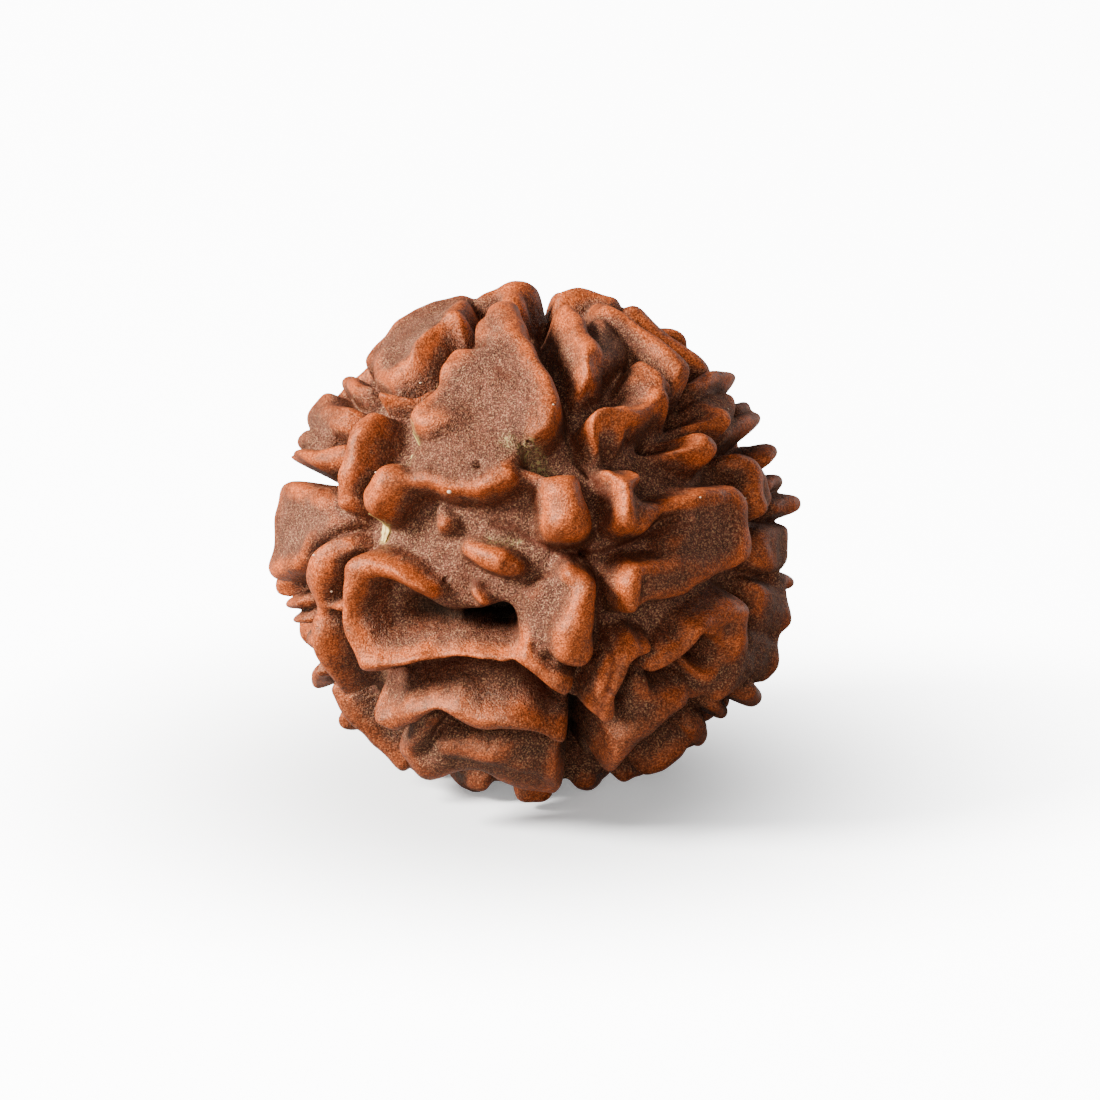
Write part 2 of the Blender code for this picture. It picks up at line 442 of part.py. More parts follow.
# Cuts: the radius of the bed, how steep the sides are, and a path on the surface above it
CUTS = {
    "left notch": (8.2, 8.0, (
        seen(-8.4, 3.05, 10.2, 0.03), seen(-9.2, 3.2, 10.4, 0.1), around(162.0, 92, 10.0, 0.16),
        around(163, 104, 10.0, 0.4), around(163, 118, 10.0, 0.5),
    )),
    "hole mouth": (7.7, 2.2, (
        seen(-3.6, -3.2, 9.2, 0.05), seen(-2.2, -3.15, 9.2, 0.1), seen(-1.35, -3.1, 9.2, 0.2),
    )),
    "deep hole": (6.2, 6.0, (
        seen(-3.1, -3.25, 9.2, 0.05), seen(-2.1, -3.2, 9.2, 0.24), seen(-1.3, -3.1, 9.2, 0.4),
    )),
    "trough into hole": (7.8, 1.9, (
        seen(-5.2, -2.7, 9.2, 0.35), seen(-4.4, -2.9, 9.2, 0.25), seen(-3.6, -3.1, 9.2, 0.25),
        seen(-2.7, -3.15, 9.2, 0.2),
    )),
    "right hole": (7.2, 6.0, (seen(7.05, -4.4, 10.2, 0.2), seen(7.5, -4.6, 10.2, 0.3))),
    "right small hole": (7.9, 4.0, (seen(5.4, -5.15, 9.6, 0.2), seen(5.9, -5.15, 9.6, 0.25))),
    "shelf pit": (9.5, 5.0, (seen(-2.25, 3.5, 10.3, 0.02), seen(-2.15, 3.45, 10.3, 0.02))),
    "gap left of crown": (8.3, 2.6, (
        seen(-3.4, 9.0, 10.6, 0.05), seen(-4.3, 7.9, 10.3, 0.15), seen(-5.2, 6.9, 10.0, 0.2),
    )),
    "pit under hooked ridge": (8.0, 2.4, (seen(5.2, 4.75, 10.0, 0.1), seen(5.6, 4.9, 10.0, 0.12))),
    "pit behind finger": (8.0, 2.4, (seen(6.2, 5.9, 10.0, 0.1), seen(6.6, 6.0, 10.0, 0.1))),
    "right rim pit": (8.6, 2.4, (seen(8.9, -1.55, 10.5, 0.1), seen(9.4, -1.6, 10.5, 0.15))),
    "groove under frame": (8.2, 2.6, (
        seen(-6.7, -5.95, 10.4, 0.08), seen(-5.2, -5.75, 10.4, 0.16), seen(-3.2, -5.55, 10.4, 0.2),
        seen(-1.2, -5.65, 10.4, 0.18), seen(0.2, -6.5, 10.4, 0.12), seen(1.5, -6.85, 10.4, 0.1),
    )),
    "bottom seam": (7.6, 4.2, (
        seen(2.05, -7.2, 10.4, 0.08), seen(2.3, -8.3, 10.5, 0.26), seen(2.1, -9.4, 10.6, 0.2),
        around(281, 90, 10.5, 0.12),
    )),
    "crown valley": (9.95, 0.45, (
        seen(-2.5, 6.4, 10.6, 0.15), seen(-1.7, 5.4, 10.5, 0.3), seen(-0.9, 4.6, 10.3, 0.3),
    )),
    "hollow on third tier": (9.6, 0.9, (seen(-0.5, -8.35, 10.5, 0.15), seen(0.7, -8.6, 10.5, 0.15))),
    "upper right pit": (8.8, 1.4, (seen(3.3, 6.7, 9.8, 0.15), seen(3.6, 6.5, 9.8, 0.15))),
    "crescent pit": (8.6, 1.6, (seen(3.4, 3.8, 9.6, 0.12), seen(3.6, 3.7, 9.6, 0.12))),
}

# Seams between the four faces: paths away from the front pole, with depth and half width
SEAM_WIDTH = 0.16
SEAMS = {
    "upper seam": (0.35, (
        seen(2.4, -0.2, 9.3), seen(3.0, 0.9, 9.3), seen(3.05, 2.0, 9.3), seen(2.6, 3.1, 9.3),
        seen(2.0, 3.9, 9.3), seen(1.75, 5.0, 9.3), seen(1.5, 6.2, 9.4), seen(0.9, 7.5, 9.6),
        seen(0.6, 8.7, 9.8), seen(0.35, 9.9, 10.2), around(88, 95, 10.2),
    )),
    "left seam": (0.3, (
        seen(2.4, -0.2, 9.3), seen(1.4, -0.25, 9.3), seen(0.5, 0.15, 9.3), seen(-0.8, 0.8, 9.3),
        seen(-1.8, 1.0, 9.3),
    )),
    "right seam": (0.3, (
        seen(2.4, -0.2, 9.3), seen(3.2, -0.15, 9.3), seen(4.0, 0.2, 9.4), seen(5.0, 0.6, 9.4),
        seen(6.0, 0.9, 9.4),
    )),
    "lower seam": (0.3, (
        seen(2.4, -0.2, 9.3), seen(2.95, -1.6, 9.3), seen(3.0, -4.0, 9.3), seen(2.5, -5.6, 9.3),
        seen(2.05, -6.8, 9.3),
    )),
    "upper seam rear": (0.35, (
        around(88, 95, 10.0), around(90, 110, 10.0), around(97, 126, 10.0), around(105, 142, 10.0),
        around(140, 158, 10.0), around(175, 166, 10.0),
    )),
    "left seam rear": (0.35, (
        around(174, 96, 10.0), around(170, 112, 10.0), around(176, 128, 10.0), around(171, 146, 10.0),
        around(175, 166, 10.0),
    )),
    "right seam rear": (0.35, (
        around(6.5, 80, 10.0), around(6.5, 96, 10.0), around(11, 114, 10.0), around(3, 132, 10.0),
        around(-6, 152, 10.0), around(-50, 170, 10.0), around(175, 166, 10.0),
    )),
    "lower seam rear": (0.35, (
        around(277, 101, 10.0), around(272, 114, 10.0), around(266, 128, 10.0), around(258, 144, 10.0),
        around(225, 158, 10.0), around(175, 166, 10.0),
    )),
}


def unit_rows(vectors: np.ndarray) -> np.ndarray:
    """Return the rows of an array scaled to length one."""
    return vectors / np.linalg.norm(vectors, axis=1)[:, None]


def smooth_max(first: np.ndarray, second: np.ndarray, width: float) -> np.ndarray:
    """Return the larger of two heights, with the corner between them filled."""
    overlap = np.maximum(width - np.abs(first - second), 0.0)
    return np.maximum(first, second) + overlap ** 2 / (4.0 * width)


def smooth_min(first: np.ndarray, second: np.ndarray, width: float) -> np.ndarray:
    """Return the smaller of two heights, with the corner between them rounded."""
    return -smooth_max(-first, -second, width)


def smooth_line(points: tuple[Point, ...], closed: bool = False) -> tuple[Point, ...]:
    """Return a path or a closed outline with more points, which runs smoothly through the given ones."""
    count = len(points)
    if count < 3:
        return points
    rows = np.array([(*point.direction, point.top, point.half) for point in points])
    shares = np.arange(LINE_STEPS) / LINE_STEPS
    smoothed = []
    for index in range(count if closed else count - 1):
        places = np.arange(index - 1, index + 3)
        before, start, end, after = rows[places % count if closed else np.clip(places, 0, count - 1)]
        for share in shares:
            smoothed.append(
                start
                + 0.5 * share * (end - before)
                + share ** 2 * (before - 2.5 * start + 2.0 * end - 0.5 * after)
                + share ** 3 * (1.5 * (start - end) + 0.5 * (after - before))
            )
    if not closed:
        smoothed.append(rows[-1])
    lines = np.array(smoothed)
    lines[:, :3] = unit_rows(lines[:, :3])
    return tuple(Point(tuple(row[:3]), row[3], row[4]) for row in lines)


def raised_form(
    outside: np.ndarray, top: np.ndarray, rounding: np.ndarray | float, drop: np.ndarray | float
) -> np.ndarray:
    """Return the height of a form with a rounded edge and steep walls.

    Args:
        outside: distance past the form's edge, in millimetres, negative inside it.
        top: radius of the form's top.
        rounding: width of the rounded edge.
        drop: how far the rounded edge falls.

    Returns:
        The radius of its surface.
    """
    inward = np.clip((outside + rounding) / rounding, 0.0, 1.0)
    rounded = top - drop + drop * np.sqrt(1.0 - inward ** 2)
    wall = top - drop - WALL_SLOPE * outside
    return np.where(outside > 0.0, wall, rounded)


def distance_to_path(rays: np.ndarray, path: tuple[Point, ...]) -> tuple[np.ndarray, np.ndarray, np.ndarray]:
    """Return the distance past a path's half width, and the path's radius and half width there.

    Args:
        rays: unit directions, one a row.
        path: the path's points.

    Returns:
        Distances in millimetres, negative within the half width, radii and half widths.
    """
    outside = np.full(len(rays), np.inf)
    top = np.zeros(len(rays))
    half = np.zeros(len(rays))
    for start, end in zip(path, path[1:]):
        origin = np.array(start.direction)
        run = np.array(end.direction) - origin
        share = np.clip((rays - origin) @ run / (run @ run), 0.0, 1.0)
        nearest = unit_rows(origin + share[:, None] * run)
        width = start.half + share * (end.half - start.half)
        away = np.linalg.norm(rays - nearest, axis=1) * WIDTH_RADIUS - width
        closer = away < outside
        outside[closer] = away[closer]
        top[closer] = start.top + share[closer] * (end.top - start.top)
        half[closer] = width[closer]
    return outside, top, half


def rays_near(rays: np.ndarray, points: tuple[Point, ...]) -> np.ndarray:
    """Return which rays pass within reach of some points, as a mask."""
    directions = np.array([point.direction for point in points])
    middle = directions.mean(axis=0)
    spread = np.linalg.norm(directions - middle, axis=1).max()
    return np.linalg.norm(rays - middle, axis=1) < spread + REACH / WIDTH_RADIUS


def distance_to_outline(rays: np.ndarray, outline: tuple[Point, ...]) -> tuple[np.ndarray, np.ndarray]:
    """Return the distance past an outline, negative inside it, and the radius blended from its corners."""
    corners = np.array([point.direction for point in outline])
    tops = np.array([point.top for point in outline])
    middle = corners.mean(axis=0)
    middle /= np.linalg.norm(middle)
    aside = np.cross((0.0, 0.0, 1.0) if abs(middle[2]) < STEEP else (0.0, 1.0, 0.0), middle)
    aside /= np.linalg.norm(aside)
    along = np.cross(middle, aside)
    flat_corners = np.stack([corners @ aside, corners @ along], axis=1) / (corners @ middle)[:, None]
    facing = np.maximum(rays @ middle, LEAST_FACING)
    flat_rays = np.stack([rays @ aside, rays @ along], axis=1) / facing[:, None]
    edge = np.full(len(rays), np.inf)
    inside = np.zeros(len(rays), dtype=bool)
    count = len(outline)
    for index in range(count):
        following = (index + 1) % count
        run = corners[following] - corners[index]
        share = np.clip((rays - corners[index]) @ run / (run @ run), 0.0, 1.0)
        nearest = unit_rows(corners[index] + share[:, None] * run)
        edge = np.minimum(edge, np.linalg.norm(rays - nearest, axis=1))
        start = flat_corners[index]
        end = flat_corners[following]
        crosses = (start[1] > flat_rays[:, 1]) != (end[1] > flat_rays[:, 1])
        rise = end[1] - start[1] if end[1] != start[1] else 1.0
        meeting = start[0] + (flat_rays[:, 1] - start[1]) * (end[0] - start[0]) / rise
        inside ^= crosses & (flat_rays[:, 0] < meeting)
    spans = np.linalg.norm(rays[:, None, :] - corners[None, :, :], axis=2)
    weights = 1.0 / (spans ** 2 + LEAST_SPAN)
    top = (weights * tops).sum(axis=1) / weights.sum(axis=1)
    return np.where(inside, -edge, edge) * WIDTH_RADIUS, top


def raise_ridges(height: np.ndarray, room: np.ndarray, rays: np.ndarray) -> None:
    """Raise every ridge above the given heights, and note the room that is left beside them."""
    for path in RIDGES.values():
        near = rays_near(rays, path)
        outside, top, half = distance_to_path(rays[near], smooth_line(path))
        rounding = np.maximum(half, CREST_ROUND)
        drop = rounding + DOME_DROP * np.clip((half - DOME_START) / DOME_START, 0.0, 1.0)
        raised = raised_form(outside, top, rounding, drop)
        height[near] = smooth_max(height[near], raised, FORM_BLEND)
        room[near] = np.minimum(room[near], outside)


def raise_plates(height: np.ndarray, room: np.ndarray, rays: np.ndarray) -> None:
    """Raise every plate, with its middle dished, and note the room that is left beside them."""
    for dish, outline in PLATES.values():
        near = rays_near(rays, outline)
        outside, top = distance_to_outline(rays[near], smooth_line(outline, closed=True))
        inward = np.clip((-outside - DISH_START) / DISH_WIDTH, 0.0, 1.0)
        top = top - dish * inward * inward * (3.0 - 2.0 * inward)
        raised = raised_form(outside, top, PLATE_ROUND, PLATE_ROUND)
        height[near] = smooth_max(height[near], raised, FORM_BLEND)
        room[near] = np.minimum(room[near], outside)


def distance_to_still_line(rays: np.ndarray, seed: int, length: float) -> np.ndarray:
    """Return the distance to the nearest still line of a random wave field.

    Args:
        rays: unit directions, one a row.
        seed: seed of the random draw.
        length: wave length, in millimetres.

    Returns:
        Distances in millimetres, which are too small near the crossing of two lines.
    """
    random = np.random.default_rng(seed)
    directions = unit_rows(random.normal(size=(NET_WAVES, 3)))
    phases = random.uniform(0.0, 2.0 * math.pi, NET_WAVES)
    per_radian = 2.0 * math.pi * WIDTH_RADIUS / length
    angles = per_radian * rays @ directions.T + phases
    level = np.cos(angles).sum(axis=1)
    slopes = -(np.sin(angles) @ directions) * per_radian
    across = slopes - (slopes * rays).sum(axis=1)[:, None] * rays
    steepness = np.linalg.norm(across, axis=1) / WIDTH_RADIUS
    typical = 2.0 * math.pi / length * math.sqrt(NET_WAVES / 2.0)
    return np.abs(level) / np.maximum(steepness, NET_LEAST_SLOPE * typical)


def net_height(rays: np.ndarray, room: np.ndarray) -> np.ndarray:
    """Return the height of the winding net that covers the rear, where the named forms leave room."""
    outside = distance_to_still_line(rays, NET_SEED, NET_LENGTH) - NET_HALF
    outside = np.maximum(outside, BREAK_HALF - distance_to_still_line(rays, BREAK_SEED, BREAK_LENGTH))
    outside = np.maximum(outside, NET_CLEARANCE - room)
    tilt = np.degrees(np.arccos(np.clip(rays[:, 2], -1.0, 1.0)))
    share = np.clip((tilt - NET_START) / (NET_FULL - NET_START), 0.0, 1.0)
    top = NET_TOP + waves(rays, NET_SWELL_BANDS, NET_SEED, 1)[:, 0]
    top = np.minimum(top, ground_radius(rays) - NET_OFF_GROUND)
    lowest = FLOOR_RADIUS - NET_SUNK
    return raised_form(outside, lowest + (top - lowest) * share, NET_HALF, NET_HALF)


def ground_radius(rays: np.ndarray) -> np.ndarray:
    """Return the radius at which rays in the view frame meet the ground, endless for those that don't."""
    down = -(rays @ view_frame()[:, 2])
    return np.where(down > LEAST_DOWN, REST_HEIGHT / np.maximum(down, LEAST_DOWN), np.inf)


def cut_and_seam(height: np.ndarray, rays: np.ndarray) -> None:
    """Lower the given heights along every cut and every seam."""
    for bed, slope, path in CUTS.values():
        near = rays_near(rays, path)
        outside, _, _ = distance_to_path(rays[near], smooth_line(path))
        sides = bed + slope * np.maximum(outside, 0.0)
        height[near] = smooth_min(height[near], sides, CUT_BLEND)
    for depth, path in SEAMS.values():
        near = rays_near(rays, path)
        outside, _, _ = distance_to_path(rays[near], smooth_line(path))
        height[near] -= depth * np.exp(-(outside / SEAM_WIDTH) ** 2)


def waves(rays: np.ndarray, bands: tuple[tuple[float, float], ...], seed: int, ways: int) -> np.ndarray:
    """Return smooth random values along unit directions, one column for each way.

    Args:
        rays: unit directions, one a row.
        bands: wave length and typical size of each band, in millimetres.
        seed: seed of the random draw.
        ways: how many independent values to return for each direction.

    Returns:
        The values, one row for each direction.
    """
    random = np.random.default_rng(seed)
    total = np.zeros((len(rays), ways))
    for length, size in bands:
        directions = unit_rows(random.normal(size=(WAVER_WAVES, 3)))
        phases = random.uniform(0.0, 2.0 * math.pi, WAVER_WAVES)
        shares = random.normal(size=(WAVER_WAVES, ways))
        angles = 2.0 * math.pi * WIDTH_RADIUS / length * rays @ directions.T + phases
        total += size * np.sin(angles) @ shares / math.sqrt(WAVER_WAVES / 2.0)
    return total


def surface_radius(rays: np.ndarray) -> np.ndarray:
    """Return the bead's radius in millimetres along unit directions in the view frame."""
    straight = rays
    rays = unit_rows(straight + waves(straight, WAVER_BANDS, WAVER_SEED, 3) / WIDTH_RADIUS)
    height = np.full(len(rays), FLOOR_RADIUS - REACH)
    room = np.full(len(rays), np.inf)
    raise_plates(height, room, rays)
    raise_ridges(height, room, rays)
    for _, path in SEAMS.values():
        near = rays_near(rays, path)
        room[near] = np.minimum(room[near], distance_to_path(rays[near], path)[0])
    height = smooth_max(height, net_height(rays, room), FORM_BLEND)
    height = smooth_max(height, np.full(len(rays), FLOOR_RADIUS), FLOOR_FILLET)
    cut_and_seam(height, rays)
    height += waves(straight, SWELL_BANDS, WAVER_SEED + 1, 1)[:, 0]
    return np.minimum(height, ground_radius(straight))


def view_frame() -> np.ndarray:
    """Return the view's right, up and forward directions in the bead's own frame, one a row."""
    lean = math.radians(LOOK_DOWN)
    return np.array([
        (1.0, 0.0, 0.0),
        (0.0, math.sin(lean), math.cos(lean)),
        (0.0, -math.cos(lean), math.sin(lean)),
    ])


def read_points(mesh: bpy.types.Mesh) -> np.ndarray:
    """Return a mesh's points, one a row."""
    places = np.empty(len(mesh.vertices) * 3)
    mesh.vertices.foreach_get("co", places)
    return places.reshape(-1, 3)


def write_points(mesh: bpy.types.Mesh, points: np.ndarray) -> None:
    """Move a mesh's points to the given rows."""
    mesh.vertices.foreach_set("co", points.ravel())
    mesh.update()


def apply_modifier(thing: bpy.types.Object, kind: str, **settings: float) -> None:
    """Add one modifier to an object with the given settings and apply it."""
    modifier = thing.modifiers.new(kind, kind)
    for name, value in settings.items():
        setattr(modifier, name, value)
    bpy.context.view_layer.objects.active = thing
    bpy.ops.object.modifier_apply(modifier=modifier.name)


def press_flats(mesh: bpy.types.Mesh) -> None:
    """Press the lowest ridge tops flat, so the bead rests on them."""
    points = read_points(mesh)
    points[points[:, 2] < FLAT_PRESS - REST_HEIGHT, 2] = -REST_HEIGHT
    write_points(mesh, points)


def stand_on_ground(mesh: bpy.types.Mesh) -> None:
    """Turn millimetres into metres and set the middle of the mesh's box over the origin."""
    points = read_points(mesh)
    lowest = points.min(axis=0)
    highest = points.max(axis=0)
    middle = (lowest + highest) / 2.0
    shift = Matrix.Translation((-middle[0], -middle[1], -lowest[2]))
    mesh.transform(Matrix.Scale(METRES_PER_MM, 4) @ shift)


def shell_material() -> bpy.types.Material:
    """Return the bead's red-brown material."""
    material = bpy.data.materials.new("bead_shell")
    material.use_nodes = True
    surface = material.node_tree.nodes["Principled BSDF"]
    surface.inputs["Base Color"].default_value = SHELL_COLOUR
    surface.inputs["Roughness"].default_value = SHELL_ROUGHNESS
    surface.inputs["Metallic"].default_value = 0.0
    return material


def build_bead() -> bpy.types.Object:
    """Make the bead: a sphere whose points move to the relief, softened and then thinned out."""
    bpy.ops.mesh.primitive_ico_sphere_add(subdivisions=SPHERE_STEPS, radius=1.0)
    bead = bpy.context.object
    bead.name = "bead"
    bead.data.name = "bead"
    rays = unit_rows(read_points(bead.data))
    radius = surface_radius(rays @ view_frame().T)
    write_points(bead.data, rays * radius[:, None])
    apply_modifier(bead, "SMOOTH", factor=SOFTEN_FACTOR, iterations=SOFTEN_STEPS)
    press_flats(bead.data)
    apply_modifier(bead, "DECIMATE", ratio=TRIANGLE_LIMIT / len(bead.data.polygons))
    press_flats(bead.data)
    stand_on_ground(bead.data)
    bead.data.shade_smooth()
    bead.data.materials.append(shell_material())
    return bead


def main() -> None:
    """Clear the scene and build the bead."""
    for thing in list(bpy.data.objects):
        bpy.data.objects.remove(thing)
    build_bead()


if __name__ == "__main__":
    main()
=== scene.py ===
"""Rudraksha bead on a pale table: the finished look around the bead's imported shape.

The bead's relief is worked out from the same named ridges, plates, cuts and seams as its solid, on a
finer mesh. Sizes are in millimetres until a piece is moved to its place, and then in metres.
"""

import logging
import math
from collections.abc import Iterable
from dataclasses import dataclass, field
from enum import Enum

import bpy
import numpy as np
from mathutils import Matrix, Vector
from mathutils.kdtree import KDTree

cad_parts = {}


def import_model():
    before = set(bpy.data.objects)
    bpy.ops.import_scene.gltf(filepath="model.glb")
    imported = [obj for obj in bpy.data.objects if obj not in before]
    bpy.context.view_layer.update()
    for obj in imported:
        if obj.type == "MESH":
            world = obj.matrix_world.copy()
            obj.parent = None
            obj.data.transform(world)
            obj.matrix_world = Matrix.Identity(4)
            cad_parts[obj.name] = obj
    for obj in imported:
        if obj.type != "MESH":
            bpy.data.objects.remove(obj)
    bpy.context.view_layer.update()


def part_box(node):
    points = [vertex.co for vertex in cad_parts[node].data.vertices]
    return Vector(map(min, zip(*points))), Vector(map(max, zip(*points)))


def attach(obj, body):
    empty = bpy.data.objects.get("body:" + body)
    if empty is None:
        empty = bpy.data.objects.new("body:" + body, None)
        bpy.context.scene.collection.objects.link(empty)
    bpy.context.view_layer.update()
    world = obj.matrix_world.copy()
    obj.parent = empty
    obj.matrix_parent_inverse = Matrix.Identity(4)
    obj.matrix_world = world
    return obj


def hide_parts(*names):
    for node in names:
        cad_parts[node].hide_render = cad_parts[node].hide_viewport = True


Colour = tuple[float, float, float, float]

# Patches of a noise: its scale, the level where they start and the level where they are full
Mottle = tuple[float, float, float]

# The value where something starts and the value where it is full
Span = tuple[float, float]

LOG = logging.getLogger("bead")
METRES_PER_MM = 0.001

# Driving sizes, in millimetres
FLOOR_RADIUS = 8.75
NET_TOP = 10.75
WIDTH_RADIUS = 10.3
REST_HEIGHT = 10.4

# Shape of every raised form
PLATE_ROUND = 0.6
DISH_START = 0.5
DISH_WIDTH = 1.0
CREST_ROUND = 0.38
DOME_START = 0.6
DOME_DROP = 0.55
LINE_STEPS = 3
WALL_SLOPE = 4.6
FLOOR_FILLET = 0.9
FORM_BLEND = 0.45
CUT_BLEND = 0.35
REACH = 2.8

# Waver that keeps outlines and faces from running straight: wave lengths and reaches in millimetres
WAVER_SEED = 3
WAVER_WAVES = 16
WAVER_BANDS = ((3.4, 0.07), (1.5, 0.04))
SWELL_BANDS = ((3.0, 0.05), (1.6, 0.05), (0.9, 0.022))

# The front of the bead leans back by this many degrees, towards a camera that looks down on it
LOOK_DOWN = 18.0

# Winding net on the rear: ridges along the still lines of one wave field, broken by those of another
NET_SEED = 7
NET_WAVES = 26
NET_LENGTH = 5.0
NET_HALF = 0.55
NET_LEAST_SLOPE = 0.55
NET_SWELL_BANDS = ((4.5, 0.16),)
NET_START = 88.0
NET_FULL = 97.0
NET_SUNK = 0.9
NET_CLEARANCE = 0.45
NET_OFF_GROUND = 0.12
BREAK_SEED = 19
BREAK_LENGTH = 8.5
BREAK_HALF = 0.34

# Points this close to the ground are pressed down to it, in millimetres
FLAT_PRESS = 0.05

# Mesh: steps of the first sphere, and the passes that soften it with their strength
SPHERE_STEPS = 8
SOFTEN_STEPS = 8
SOFTEN_FACTOR = 0.5

# Limits that keep a division away from zero
LEAST_FACING = 0.1
LEAST_DOWN = 0.5
LEAST_SPAN = 0.001
STEEP = 0.9

# Fibre tubes: faces round a quarter of them, and how far short of a point their ends stop
TUBE_ROUNDNESS = 2
TUBE_TIP = 0.12

# Shared groups: first values of their inputs, detail of their noises, and levels of the specks
GRAIN_FINENESS = 9000.0
GRAIN_COARSE_SHARE = 0.4
COARSE_SIZE = 0.35
FINE_DETAIL = 2.0
WIDE_DETAIL = 3.0
SPECKLE_LEVELS = (0.52, 0.68)
MOTTLE = (700.0, 0.4, 0.6)
MOTTLE_DETAIL = 4.0

# Camera: how far right of and above the bead's middle the picture's middle is, and its width there
PHOTO_RIGHT = 0.75
PHOTO_UP = -0.083
PHOTO_SPAN = 45.83
CAMERA_DISTANCE = 0.8
CAMERA_REACH = 20.0

# Table, lights (name, way from the bead, distance, width, watts, tint) and room
TABLE_SIZE = 6.0
LIGHTS = (
    ("left_softbox", (-8.0, -2.5, 5.5), 0.6, 0.22, 21.5, (1.0, 0.985, 0.96)),
    ("front_fill", (-1.0, -7.0, 1.6), 0.8, 0.5, 5.5, (1.0, 0.99, 0.98)),
    ("rear_fill", (7.0, 6.0, 2.5), 0.8, 0.5, 1.8, (1.0, 0.99, 0.98)),
)
ROOM_COLOUR = (1.0, 1.0, 1.0, 1.0)
ROOM_STRENGTH = 0.36


@dataclass(frozen=True)
class Point:
    """A place on the bead's surface.

    Args:
        direction: unit vector in the view frame: x to the right, y up, z to the viewer.
        top: radius of the surface there, in millimetres.
        half: half width of the form there, in millimetres.
    """

    direction: tuple[float, float, float]
    top: float
    half: float


def seen(u: float, v: float, top: float, half: float = 0.0) -> Point:
    """Place a point where the viewer sees it.

    Args:
        u: millimetres right of the bead's middle.
        v: millimetres above it.
        top: the form's radius there.
        half: the form's half width there.

    Returns:
        The point.
    """
    reach = math.hypot(u, v)
    side = min(reach / top, 1.0)
    depth = math.sqrt(1.0 - side * side)
    return Point((u / reach * side, v / reach * side, depth), top, half)


def around(clock: float, tilt: float, top: float, half: float = 0.0) -> Point:
    """Place a point by its angles, also where the viewer doesn't see it.

    Args:
        clock: degrees round the line of sight, from the right over the top.
        tilt: degrees away from the viewer.
        top: the form's radius there.
        half: the form's half width there.

    Returns:
        The point.
    """
    turn = math.radians(clock)
    lean = math.radians(tilt)
    direction = (math.sin(lean) * math.cos(turn), math.sin(lean) * math.sin(turn), math.cos(lean))
    return Point(direction, top, half)


